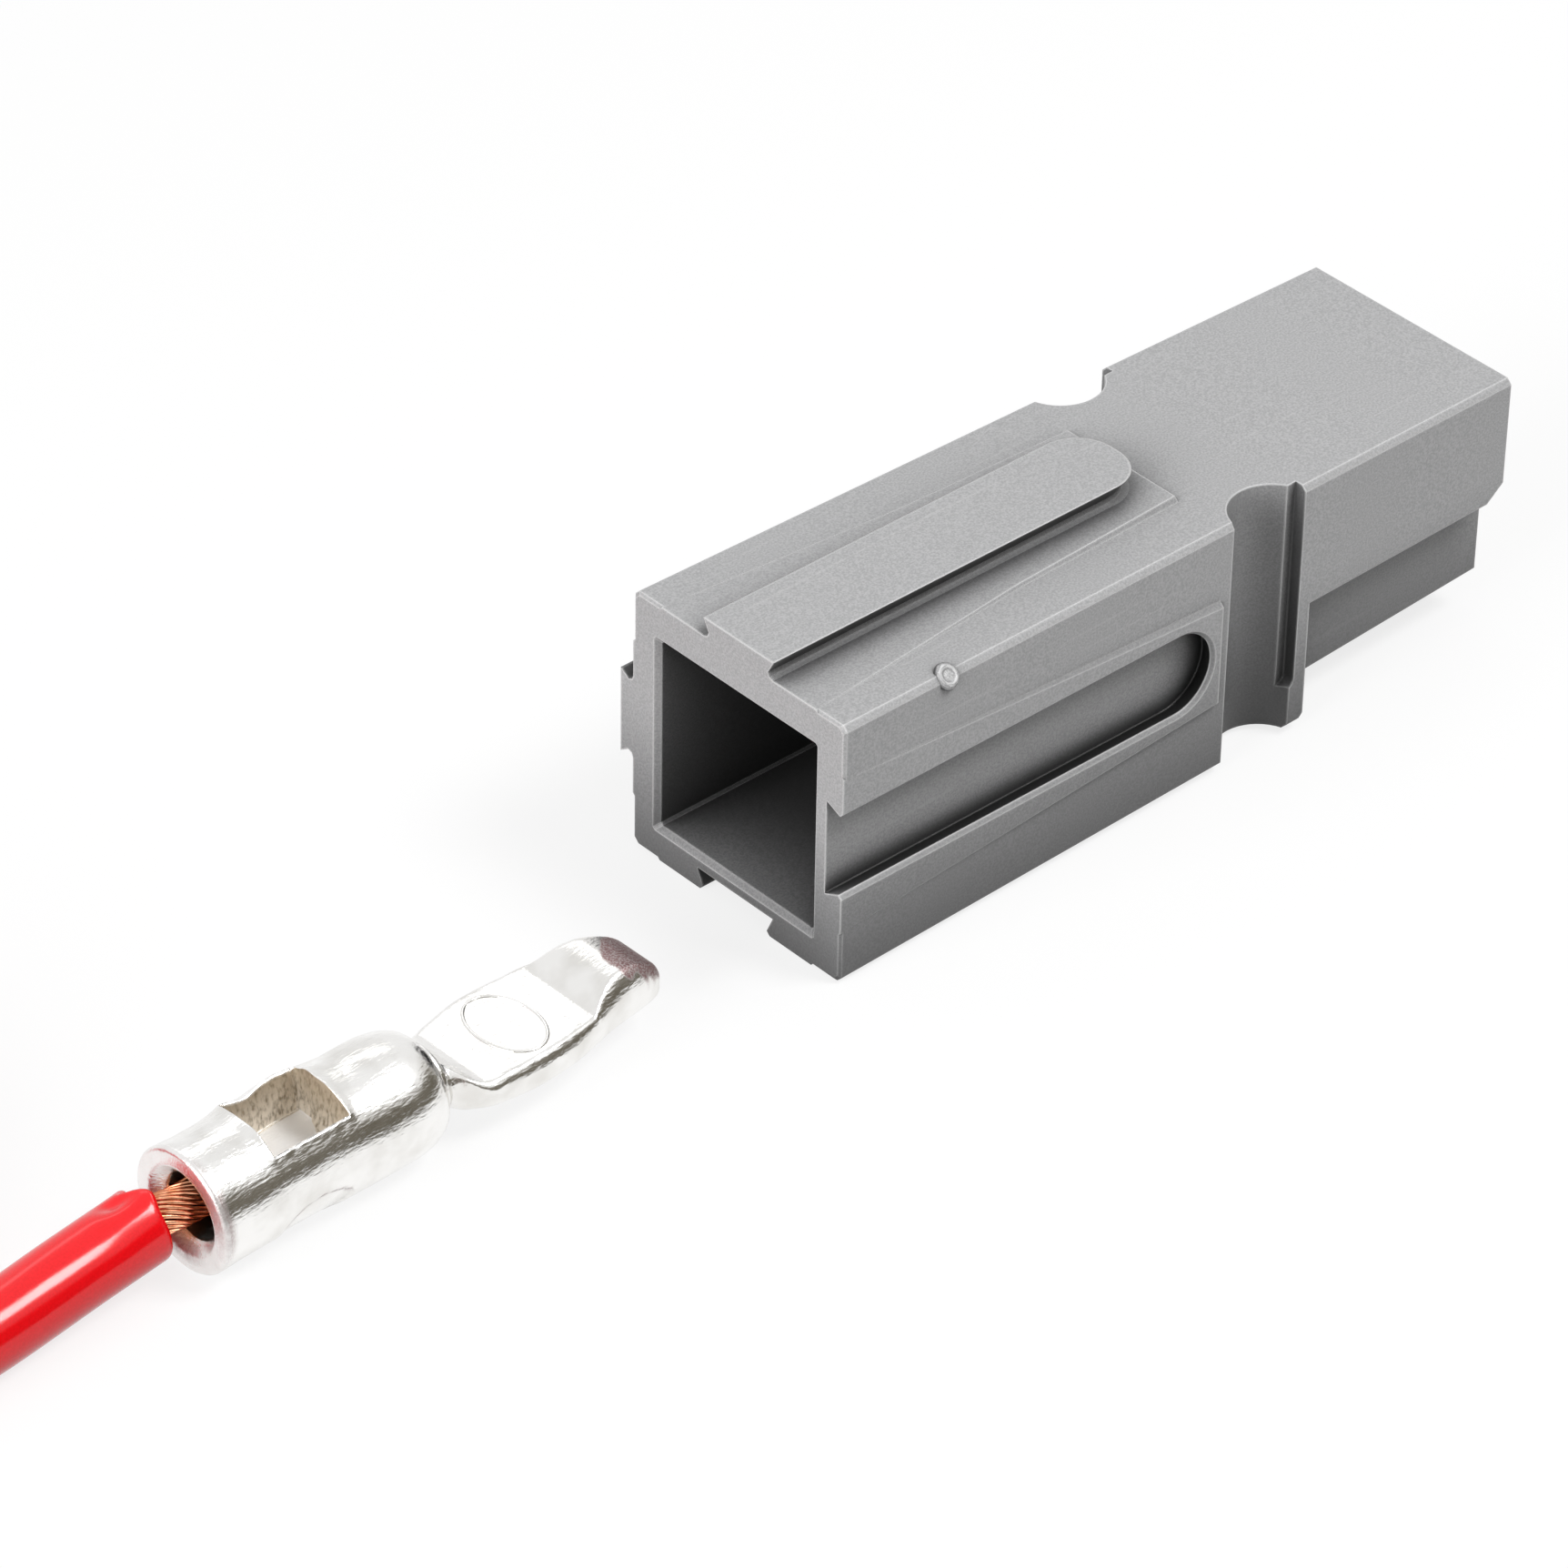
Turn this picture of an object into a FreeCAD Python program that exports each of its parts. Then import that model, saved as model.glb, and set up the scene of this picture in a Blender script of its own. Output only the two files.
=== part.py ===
import FreeCAD, Part
import math
import os
from FreeCAD import Vector

os.makedirs("parts", exist_ok=True)

# Single-pole genderless power connector, flat-wiping type, all sizes in millimetres.
# A moulded housing holds a leaf spring. Its crimped contact and lead lie in front of the
# cable entry, as they do before assembly. While it is drawn, X runs from the cable entry
# to the mating end, Y is across, and Z is up from the face that the housing rests on.

# Housing body: a drafted block, widest at the cable entry
housing_length = 47.8
mating_length = 14.7
body_width = 15.7
body_height = 15.8
side_draft_deg = 0.62
top_draft_deg = 0.56
long_edge_chamfer = 0.3
end_edge_chamfer = 0.15

# Slide pads: faces that stay parallel to the axis, so they stand proud as the body tapers
pad_to_notch = 3.2
pad_waist = 0.57
top_pad_half_rear = 5.75
top_pad_half_middle = 4.4
top_pad_half_front = 3.95
side_pad_half_rear = 4.75
side_pad_half_middle = 3.75
side_pad_half_front = 3.0
pad_flank_slope = 1.0
pad_root_depth = 1.0

# Dovetail ribs and grooves that key housings side by side and on top of each other
rib_to_notch = 3.7
rib_outer_half = 2.6
rib_base_half = 2.2
rib_corner_radius = 2.3
top_rib_height = 1.1
side_rib_height = 0.95
rib_root_fillet = 0.35
groove_to_notch = 3.8
groove_lip_half = 2.42
groove_floor_half = 2.85
groove_depth = 1.2
groove_lip_round = 0.22

# Half-round notches for the retaining pin, and the flange ahead of them
notch_before_flange = 3.6
notch_radius = 2.5
notch_axis_outside = 0.5
notch_relief_inset = 0.78
notch_relief_depth = 0.25
notch_relief_floor = 2.9
notch_relief_corner = 0.6
flange_foot_chamfer = 0.55

# Hood over the mating end, and the tongue under it
hood_edge_height_rear = 7.86
hood_edge_height_front = 7.98
hood_lead_in_length = 1.3
hood_lead_in_height = 1.0
tongue_half_rear = 6.0
tongue_half_front = 5.83
tongue_underside_rear = 1.64
tongue_underside_front = 2.18
tongue_top_below_middle = 0.4
tongue_edge_chamfer = 0.4
mating_clearance = 0.12

# Cable socket, the seat of the barrel and the way through to the mating cavity
mouth_half_width = 5.8
mouth_half_height = 5.75
mouth_off_middle = 0.2
mouth_chamfer = 0.3
seat_length = 5.65
socket_draft = 0.3
socket_corner = 0.15
socket_middle_height = 7.75
seat_lead_in = 0.9
seat_clearance = 0.25
slot_clearance = 0.2
front_wall = 2.2
spring_bay_floor = 3.2

# Crimp contact: turned barrel, drawn neck and coined blade with a hooked tip
contact_length = 29.75
barrel_diameter = 6.68
barrel_length = 14.6
barrel_shoulder = 2.4
barrel_front_diameter = 5.0
barrel_rim_chamfer = 0.18
bore_diameter = 3.6
bore_depth = 10.6
bore_mouth_diameter = 4.9
bore_mouth_depth = 0.6
collar_diameter = 4.2
collar_length = 0.5
neck_length = 1.1
blade_root_half = 1.7
blade_half = 3.25
blade_shoulder_half = 2.75
blade_hump_half = 2.4
blade_tip_half = 2.05
blade_nose_half = 0.6
blade_nose_length = 1.7
blade_top = 0.41
blade_bottom = -1.49
blade_start_of_ramp = 24.1
blade_end_of_ramp = 25.4
blade_ramp_rise = 0.38
blade_hump_rise = 0.85
blade_top_round = 0.3
blade_hump_round = 0.5
blade_foot_round = 0.55

# Crimp: a square indent from above, and flats where the die held the barrel
indent_from_rear = 3.95
indent_length = 4.7
indent_half_width = 2.2
indent_floor = 0.16
indent_wall_draft = 0.3
indent_skin = 0.7
indent_wall = 0.55
die_mark_from_rear = 6.7
die_mark_depth = 0.2
die_mark_radius = 13.0
die_mark_tilt_deg = 22.0

# Leaf spring: one stainless strip, arched, with its rear end hooked into the bay floor
spring_thickness = 0.5
spring_width = 5.6
spring_rise = 2.9
spring_hook_depth = 0.7
spring_hook_clearance = 0.15
spring_end_gap = 0.3

# Lead: insulated stranded wire, and its bare conductor
lead_diameter = 4.0
conductor_diameter = 2.2
conductor_off_axis = 0.5
conductor_below_axis = 0.1
conductor_clearance = 0.02
bare_length = 1.3

# How the contact lies on the surface in front of the cable entry
contact_end_x = -38.23
contact_end_y = -3.45
contact_turn_deg = 1.16

# Route of the lead from its cut end, then the run into the coil and the coil itself
lead_route = [
    Vector(-39.5, -2.62, 2.98),
    Vector(-44.7, -2.66, 2.28),
    Vector(-50.2, -3.28, 2.0),
    Vector(-55.2, -3.28, 2.0),
]
coil_middle_x = -68.2
coil_turn_radius = 20.0
coil_turn_pitch = 4.2

side_taper = math.tan(math.radians(side_draft_deg))
top_taper = math.tan(math.radians(top_draft_deg))
middle_height = body_height / 2
barrel_radius = barrel_diameter / 2
flange_front = housing_length - mating_length
notch_middle = flange_front - notch_before_flange
pad_length = notch_middle - pad_to_notch
rib_length = notch_middle - rib_to_notch
groove_length = notch_middle - groove_to_notch


def half_width_at(x):
    return body_width / 2 - side_taper * x


def bottom_at(x):
    return top_taper * x


def top_at(x):
    return body_height - top_taper * x


def between(x, x0, v0, x1, v1):
    return v0 + (v1 - v0) * (x - x0) / (x1 - x0)


def box(x0, x1, y0, y1, z0, z1):
    return Part.makeBox(x1 - x0, y1 - y0, z1 - z0, Vector(x0, y0, z0))


def flat_face(points):
    return Part.Face(Part.makePolygon(points + [points[0]]))


def prism(points, along):
    return flat_face(points).extrude(along)


def cut_corner_section(x, half, low, high, low_cut, high_cut):
    """An upright rectangle across the axis with its corners cut off."""
    return [
        Vector(x, -half, low + low_cut),
        Vector(x, -half + low_cut, low),
        Vector(x, half - low_cut, low),
        Vector(x, half, low + low_cut),
        Vector(x, half, high - high_cut),
        Vector(x, half - high_cut, high),
        Vector(x, -half + high_cut, high),
        Vector(x, -half, high - high_cut),
    ]


def drafted(sections):
    """A solid with flat faces through outlines whose sides stay parallel from one to the next."""
    faces = [flat_face(sections[0]), flat_face(sections[-1])]
    for here, ahead in zip(sections, sections[1:]):
        for i in range(len(here)):
            faces.append(flat_face([here[i - 1], here[i], ahead[i], ahead[i - 1]]))
    solid = Part.Solid(Part.Shell(faces))
    if solid.Volume < 0:
        solid.reverse()
    return solid


def near(edge, place):
    """Whether the middle of an edge lies at a place."""
    return (edge.CenterOfMass - place).Length < 1e-3


def wire_through(runs, place):
    """A wire along runs of plane points: two make a straight line, three an arc."""
    edges = []
    for run in runs:
        points = [place(*point) for point in run]
        curve = Part.LineSegment(*points) if len(run) == 2 else Part.Arc(*points)
        edges.append(curve.toShape())
    return Part.Wire(edges)


def rounded_path(points, radii):
    """Straight runs joined by tangent arcs, one radius for each inner point."""
    edges = []
    start = points[0]
    for here, before, after, radius in zip(points[1:-1], points, points[2:], radii):
        back = (before - here).normalize()
        ahead = (after - here).normalize()
        half_turn = (math.pi - back.getAngle(ahead)) / 2
        reach = radius * math.tan(half_turn)
        inward = (back + ahead).normalize()
        middle = here + inward * (radius / math.cos(half_turn) - radius)
        first = here + back * reach
        last = here + ahead * reach
        edges.append(Part.LineSegment(start, first).toShape())
        edges.append(Part.Arc(first, middle, last).toShape())
        start = last
    edges.append(Part.LineSegment(start, points[-1]).toShape())
    return Part.Wire(edges)


def body_block():
    def section(x, inset):
        cut = long_edge_chamfer
        return cut_corner_section(
            x, half_width_at(x) - inset, bottom_at(x) + inset, top_at(x) - inset, cut, cut)

    inset = end_edge_chamfer
    return drafted([
        section(0, inset),
        section(inset, 0),
        section(housing_length - inset, 0),
        section(housing_length, inset),
    ])


def pad(half_rear, half_middle, half_front):
    """A pad drawn on the top face: flat outside, its flanks and front end slope to the body."""
    def section(x, half, root):
        return [
            Vector(x, -half, 0),
            Vector(x, half, 0),
            Vector(x, root, -pad_root_depth),
            Vector(x, -root, -pad_root_depth),
        ]

    spread = pad_root_depth * pad_flank_slope
    middle = pad_length * pad_waist
    front = pad_length
    return drafted([
        section(0, half_rear, half_rear + spread),
        section(middle, half_middle, half_middle + spread),
        section(front, half_front, half_front + spread),
    ])


def rib_outline(z, half, end, corner):
    """The rib seen from outside: square at the cable entry, round corners at its front."""
    reach = end - corner
    side = half - corner
    on_corner = corner * math.sqrt(0.5)
    return wire_through([
        [(0, -half), (reach, -half)],
        [(reach, -half), (reach + on_corner, -side - on_corner), (end, -side)],
        [(end, -side), (end, side)],
        [(end, side), (reach + on_corner, side + on_corner), (reach, half)],
        [(reach, half), (0, half)],
        [(0, half), (0, -half)],
    ], lambda x, y: Vector(x, y, z))


def rib(height):
    """A dovetail rib drawn on the top face, undercut, with a flared root."""
    undercut = rib_outer_half - rib_base_half
    waist = rib_root_fillet
    flare = rib_root_fillet
    outlines = [
        rib_outline(-0.2, rib_base_half + flare, rib_length - undercut + flare, rib_corner_radius),
        rib_outline(0, rib_base_half + flare, rib_length - undercut + flare, rib_corner_radius),
        rib_outline(
            waist * 0.3, rib_base_half + flare * 0.3,
            rib_length - undercut + flare * 0.3, rib_corner_radius),
        rib_outline(waist, rib_base_half, rib_length - undercut, rib_corner_radius),
        rib_outline(height, rib_outer_half, rib_length, rib_corner_radius),
    ]
    return Part.makeLoft(outlines, True, True)


def groove():
    """A dovetail groove drawn on the top face, open at the cable entry, round at its front."""
    lip = groove_lip_half
    wide = groove_floor_half
    end_middle = groove_length - lip
    over = 0.6
    half_profile = [
        Vector(0, 0, over),
        Vector(0, lip + groove_lip_round + over, over),
        Vector(0, lip + groove_lip_round, 0),
        Vector(0, lip, -groove_lip_round),
        Vector(0, wide, -groove_depth),
        Vector(0, 0, -groove_depth),
    ]
    mirrored = [Vector(0, -p.y, p.z) for p in reversed(half_profile[1:-1])]
    straight = prism(half_profile + mirrored, Vector(end_middle + 1, 0, 0))
    straight.translate(Vector(-1, 0, 0))
    end = flat_face(half_profile).revolve(Vector(0, 0, 0), Vector(0, 0, 1), 360)
    end.translate(Vector(end_middle, 0, 0))
    return straight.fuse(end)


def on_face(shape, angle, offset):
    """Turn a feature drawn on the top face about the axis and set it on its own face."""
    placed = shape.copy()
    placed.translate(Vector(0, 0, offset))
    placed.rotate(Vector(0, 0, 0), Vector(1, 0, 0), angle)
    placed.translate(Vector(0, 0, middle_height))
    return placed


def notch(side):
    """The half-round pin notch on one side, with the shallow relief in its front flank."""
    x = notch_middle
    y = half_width_at(x) + notch_axis_outside
    bore = Part.makeCylinder(notch_radius, body_height + 2, Vector(x, side * y, -1))
    relief_front = x + notch_radius + notch_relief_depth
    inner = half_width_at(x) - notch_relief_inset
    relief = box(x + notch_radius / 2, relief_front, inner, y + 1, notch_relief_floor, body_height + 1)
    lower_corner = [
        edge for edge in relief.Edges
        if near(edge, Vector(relief_front, (inner + y + 1) / 2, notch_relief_floor))]
    relief = relief.makeFillet(notch_relief_corner, lower_corner)
    if side < 0:
        relief = relief.mirror(Vector(0, 0, 0), Vector(0, 1, 0))
    return bore.fuse(relief)


def tongue_block():
    def section(x, inset):
        half = between(x, flange_front, tongue_half_rear, housing_length, tongue_half_front)
        low = between(
            x, flange_front, tongue_underside_rear, housing_length, tongue_underside_front)
        high = middle_height - tongue_top_below_middle
        return cut_corner_section(
            x, half - inset, low + inset, high - inset, tongue_edge_chamfer, 0.15)

    inset = end_edge_chamfer
    return drafted([
        section(flange_front - 1.0, 0),
        section(housing_length - inset, 0),
        section(housing_length, inset),
    ])


def under_hood():
    """What is taken away below the hood's edge, ahead of the flange, on both sides."""
    foot = bottom_at(flange_front)
    reach = housing_length + 1.0
    edge_end = housing_length - hood_lead_in_length
    slope = hood_lead_in_height / hood_lead_in_length
    points = [
        (flange_front - flange_foot_chamfer - 1.0, foot - 1.0),
        (flange_front, foot + flange_foot_chamfer),
        (flange_front, hood_edge_height_rear),
        (edge_end, between(
            edge_end, flange_front, hood_edge_height_rear, housing_length, hood_edge_height_front)),
        (reach, hood_edge_height_front + hood_lead_in_height + slope),
        (reach, foot - 1.0),
    ]
    half = body_width
    return prism([Vector(x, -half, z) for x, z in points], Vector(0, 2 * half, 0))


def mating_cavity():
    """Room for the tongue of a like connector, turned over: its sizes plus a clearance."""
    def section(x):
        mate_x = housing_length + flange_front - x
        half = between(mate_x, flange_front, tongue_half_rear, housing_length, tongue_half_front)
        low = between(
            mate_x, flange_front, tongue_underside_rear, housing_length, tongue_underside_front)
        ceiling = body_height - low + mating_clearance
        return cut_corner_section(
            x, half + mating_clearance, middle_height - 1.5, ceiling, 0.2, tongue_edge_chamfer)

    return drafted([section(flange_front - 0.2), section(housing_length + 1.0)])


def blade_axis_height():
    """Two mated blades touch hump to flat, so each flat lies half a hump below the middle."""
    return middle_height - blade_top - blade_hump_rise / 2


def seated_tip():
    return housing_length - front_wall - 0.3


def seated_rear():
    return seated_tip() - contact_length


def socket():
    """The hollow from the cable entry to the spring bay, stepped to the seated contact."""
    middle = socket_middle_height

    def section(x, inset, corner):
        outline = cut_corner_section(
            x, mouth_half_width - inset, middle - mouth_half_height + inset,
            middle + mouth_half_height - inset, corner, corner)
        return [point + Vector(0, mouth_off_middle, 0) for point in outline]

    shoulder_at = seated_rear() + barrel_length + 0.05
    socket_depth = shoulder_at - seat_length
    chamfer = drafted([
        section(-0.5, -mouth_chamfer - 0.5, socket_corner),
        section(mouth_chamfer, 0, socket_corner),
    ])
    room = drafted([section(0, 0, socket_corner), section(socket_depth, socket_draft, socket_corner)])
    axis_height = blade_axis_height()
    seat_radius = barrel_radius + seat_clearance
    seat = Part.makeCylinder(
        seat_radius, shoulder_at - socket_depth + 1, Vector(socket_depth - 1, 0, axis_height),
        Vector(1, 0, 0))
    cone = Part.makeCone(
        seat_radius + seat_lead_in, seat_radius, seat_lead_in,
        Vector(socket_depth - 0.01, 0, axis_height), Vector(1, 0, 0))
    collar_room = Part.makeCylinder(
        collar_diameter / 2 + seat_clearance, collar_length + neck_length,
        Vector(shoulder_at - 0.1, 0, axis_height), Vector(1, 0, 0))
    hump_top = blade_top + blade_hump_rise
    slot = box(
        shoulder_at, flange_front + 0.5, -blade_half - slot_clearance, blade_half + slot_clearance,
        axis_height + blade_bottom - slot_clearance, axis_height + hump_top + slot_clearance)
    return chamfer.fuse([room, seat, cone, collar_room, slot])


def spring_bay():
    """The open channel in the tongue that holds the spring and the contact's blade."""
    rear = seated_rear() + barrel_length + collar_length + neck_length
    half = blade_half + slot_clearance
    bay = box(rear, housing_length - front_wall, -half, half, spring_bay_floor, middle_height + 1)
    hook = spring_hook_clearance
    hook_slot = box(
        spring_rear() - hook, spring_rear() + spring_thickness + hook,
        -spring_width / 2 - hook, spring_width / 2 + hook,
        spring_bay_floor - spring_hook_depth - hook, spring_bay_floor + 0.1)
    return bay.fuse(hook_slot)


def spring_rear():
    return flange_front + 1.1


def make_housing():
    shell = body_block()
    shell = shell.cut(under_hood())
    shell = shell.cut(mating_cavity())
    shell = shell.fuse(tongue_block())
    half_body = body_height / 2
    half_side = body_width / 2
    top_pad = pad(top_pad_half_rear, top_pad_half_middle, top_pad_half_front)
    side_pad = pad(side_pad_half_rear, side_pad_half_middle, side_pad_half_front)
    added = [
        on_face(top_pad, 0, half_body),
        on_face(top_pad, 180, half_body),
        on_face(side_pad, 90, half_side),
        on_face(side_pad, -90, half_side),
        on_face(rib(top_rib_height), 0, half_body),
        on_face(rib(side_rib_height), -90, half_side),
    ]
    shell = shell.fuse(added)
    removed = [
        on_face(groove(), 180, half_body),
        on_face(groove(), 90, half_side),
        notch(1),
        notch(-1),
        socket(),
        spring_bay(),
    ]
    for hollow in removed:
        shell = shell.cut(hollow)
    return shell.removeSplitter()


def make_spring():
    """The strip's middle line, swept as a flat section."""
    half = spring_thickness / 2
    low = spring_bay_floor + half
    rear = spring_rear() + half
    front = housing_length - front_wall - spring_end_gap
    crown = low + spring_rise
    span = front - rear
    points = [
        Vector(rear, 0, spring_bay_floor - spring_hook_depth),
        Vector(rear, 0, low),
        Vector(rear + 0.32 * span, 0, crown),
        Vector(rear + 0.62 * span, 0, crown),
        Vector(rear + 0.88 * span, 0, low),
        Vector(front, 0, low),
    ]
    path = rounded_path(points, [0.45, 2.5, 2.5, 1.4])
    start = points[0]
    side = spring_width / 2
    corners = [
        start + Vector(-half, -side, 0),
        start + Vector(half, -side, 0),
        start + Vector(half, side, 0),
        start + Vector(-half, side, 0),
    ]
    section = Part.makePolygon(corners + [corners[0]])
    return path.makePipeShell([section], True, True)


def barrel():
    """Turned outline of the barrel, its bullet shoulder, the collar and the neck."""
    shoulder_start = barrel_length - barrel_shoulder
    collar = collar_diameter / 2
    front = barrel_front_diameter / 2
    drop = barrel_radius - front
    round_radius = (barrel_shoulder ** 2 + drop ** 2) / (2 * drop)
    half_sweep = math.asin(barrel_shoulder / round_radius) / 2
    on_shoulder = (
        shoulder_start + round_radius * math.sin(half_sweep),
        barrel_radius - round_radius * (1 - math.cos(half_sweep)))
    collar_end = barrel_length + collar_length
    neck_end = collar_end + neck_length
    neck_half = blade_top * 0.7
    outline = wire_through([
        [(0, 0), (0, barrel_radius - barrel_rim_chamfer)],
        [(0, barrel_radius - barrel_rim_chamfer), (barrel_rim_chamfer, barrel_radius)],
        [(barrel_rim_chamfer, barrel_radius), (shoulder_start, barrel_radius)],
        [(shoulder_start, barrel_radius), on_shoulder, (barrel_length, front)],
        [(barrel_length, front), (barrel_length, collar)],
        [(barrel_length, collar), (collar_end, collar)],
        [(collar_end, collar), (collar_end + neck_length * 0.35, collar * 0.45),
         (neck_end, neck_half)],
        [(neck_end, neck_half), (neck_end, 0)],
        [(neck_end, 0), (0, 0)],
    ], lambda x, z: Vector(x, 0, z))
    return Part.Face(outline).revolve(Vector(0, 0, 0), Vector(1, 0, 0), 360)


def hump_side():
    """The blade's front part seen from the side: a step up, the latching hump and the nose."""
    ramp_top = blade_top + blade_ramp_rise
    crest = (blade_end_of_ramp + 1.35, blade_top + blade_hump_rise)
    nose_high = (contact_length - 1.1, blade_top + 0.4)
    nose_front = (contact_length - 0.3, blade_top - 0.4)
    nose_low = (contact_length, blade_bottom + 0.5)
    nose_foot = (contact_length - 0.4, blade_bottom)
    below = (blade_start_of_ramp, blade_bottom - 0.1)
    outline = wire_through([
        [(blade_start_of_ramp, blade_top), (blade_end_of_ramp, ramp_top)],
        [(blade_end_of_ramp, ramp_top), crest, nose_high],
        [nose_high, nose_front, nose_low],
        [nose_low, nose_foot],
        [nose_foot, below],
        [below, (blade_start_of_ramp, blade_top)],
    ], lambda x, z: Vector(x, -barrel_diameter, z))
    return Part.Face(outline).extrude(Vector(0, 2 * barrel_diameter, 0))


def blade_plan(z, inset):
    """The blade seen from above, drawn in by an inset: neck, swell, taper and round nose."""
    start = barrel_length + collar_length / 2
    collar_end = barrel_length + collar_length
    swell = collar_end + neck_length
    widest = 0.5 * (start + blade_start_of_ramp) + 0.8
    nose = contact_length - blade_nose_length
    reach = contact_length + 0.1
    edge = [
        [(start, blade_root_half), (collar_end, blade_root_half)],
        [(collar_end, blade_root_half), (swell, blade_root_half + 0.5 * neck_length)],
        [(swell, blade_root_half + 0.5 * neck_length), (swell + 1.3, blade_half - 0.3),
         (widest, blade_half)],
        [(widest, blade_half), (0.5 * (widest + blade_start_of_ramp), blade_half - 0.12),
         (blade_start_of_ramp, blade_shoulder_half)],
        [(blade_start_of_ramp, blade_shoulder_half), (blade_end_of_ramp, blade_hump_half)],
        [(blade_end_of_ramp, blade_hump_half), (nose, blade_tip_half)],
        [(nose, blade_tip_half), (nose + 0.7 * blade_nose_length, blade_tip_half - 0.5),
         (reach, blade_nose_half)],
    ]
    far = [[(x, half - inset) for x, half in run] for run in edge]
    near_side = [[(x, -half) for x, half in reversed(run)] for run in reversed(far)]
    front = [[far[-1][-1], near_side[0][0]]]
    back = [[near_side[-1][-1], far[0][0]]]
    return wire_through(far + front + near_side + back, lambda x, y: Vector(x, y, z))


def blade():
    """The coined blade: a flat slab, then a taller one cut to the hump's side outline."""
    foot = [
        blade_plan(blade_bottom, blade_foot_round * 0.8),
        blade_plan(blade_bottom + blade_foot_round * 0.35, blade_foot_round * 0.2),
        blade_plan(blade_bottom + blade_foot_round, 0),
    ]
    edge = blade_top_round
    slab = Part.makeLoft(foot + [
        blade_plan(blade_top - edge, 0),
        blade_plan(blade_top - edge * 0.3, edge * 0.25),
        blade_plan(blade_top, edge * 0.8),
    ], True, True)
    crest = blade_top + blade_hump_rise
    edge = blade_hump_round
    tall = Part.makeLoft(foot + [
        blade_plan(crest - edge, 0),
        blade_plan(crest - edge * 0.35, edge * 0.2),
        blade_plan(crest + 0.05, edge),
    ], True, True)
    front = box(blade_start_of_ramp, contact_length + 5, -9, 9, -9, 9)
    return slab.cut(front).fuse(tall.common(hump_side()))


def crimp_pocket():
    """The square indent from above, its walls leaning out a little."""
    middle = indent_from_rear + indent_length / 2
    top = barrel_radius + 1

    def section(z, lean):
        half_length = indent_length / 2 + lean
        half = indent_half_width + lean
        return [
            Vector(middle - half_length, -half, z),
            Vector(middle + half_length, -half, z),
            Vector(middle + half_length, half, z),
            Vector(middle - half_length, half, z),
        ]

    slope = indent_wall_draft / (barrel_radius - indent_floor)
    return drafted([section(indent_floor, -indent_wall_draft), section(top, slope)])


def pressed_metal():
    """The barrel wall that the indent has pushed down into the bore."""
    lower = indent_floor - indent_skin
    first = indent_from_rear - indent_wall
    last = indent_from_rear + indent_length + indent_wall
    pushed = box(first, last, -barrel_radius, barrel_radius, lower, barrel_radius)
    inside = Part.makeCylinder(bore_diameter / 2 + 0.1, last, Vector(0, 0, 0), Vector(1, 0, 0))
    return pushed.common(inside)


def die_mark(side):
    """A shallow flat where the die held the barrel, low on one side."""
    tilt = math.radians(die_mark_tilt_deg)
    reach = barrel_radius - die_mark_depth + die_mark_radius
    middle = Vector(
        die_mark_from_rear, side * reach * math.cos(tilt), -reach * math.sin(tilt))
    along = Vector(0, side * math.sin(tilt), math.cos(tilt))
    return Part.makeCylinder(
        die_mark_radius, 4 * barrel_diameter, middle - along * 2 * barrel_diameter, along)


def place_contact(shape):
    """Lay a shape drawn on the contact's own axis in front of the cable entry."""
    placed = shape.copy()
    placed.rotate(Vector(0, 0, 0), Vector(0, 0, 1), contact_turn_deg)
    placed.translate(Vector(contact_end_x, contact_end_y, barrel_radius))
    return placed


def make_contact():
    along = Vector(1, 0, 0)
    solid = barrel().fuse(blade())
    solid = solid.cut(Part.makeCylinder(bore_diameter / 2, bore_depth, Vector(0, 0, 0), along))
    solid = solid.cut(Part.makeCone(
        bore_mouth_diameter / 2, bore_diameter / 2, bore_mouth_depth, Vector(0, 0, 0), along))
    solid = solid.fuse(pressed_metal())
    solid = solid.cut(crimp_pocket())
    for side in (1, -1):
        solid = solid.cut(die_mark(side))
    return place_contact(solid.removeSplitter())


def make_lead():
    """The insulated wire along its route: straight runs joined by tangent arcs."""
    radii = []
    for before, here, after in zip(lead_route, lead_route[1:], lead_route[2:]):
        shorter = min((here - before).Length, (after - here).Length)
        half_turn = (here - before).getAngle(after - here) / 2
        radii.append(0.45 * shorter / math.tan(half_turn))
    print("lead bend radii", [round(radius, 1) for radius in radii])
    path = rounded_path(lead_route, radii)
    start = lead_route[0]
    circle = Part.Circle(start, lead_route[1] - start, lead_diameter / 2)
    tube = path.makePipeShell([Part.Wire([circle.toShape()])], True, True)
    expected = math.pi * lead_diameter ** 2 / 4 * path.Length
    print("lead length", round(path.Length, 2), "volume", round(tube.Volume / expected, 4))
    return tube


def make_coil():
    """The rest of the lead as two turns, one on the other, with its straight run into them."""
    start = lead_route[-1]
    outer = coil_turn_radius + lead_diameter / 2
    inner = coil_turn_radius - lead_diameter / 2
    height = coil_turn_pitch + lead_diameter
    middle = Vector(coil_middle_x, start.y + coil_turn_radius, 0)
    up = Vector(0, 0, 1)
    ring = Part.makeCylinder(outer, height, middle, up)
    ring = ring.cut(Part.makeCylinder(inner, height, middle, up))
    run = Part.makeCylinder(
        lead_diameter / 2, start.x - coil_middle_x, Vector(coil_middle_x, start.y, start.z),
        Vector(1, 0, 0))
    return ring.fuse(run)


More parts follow.
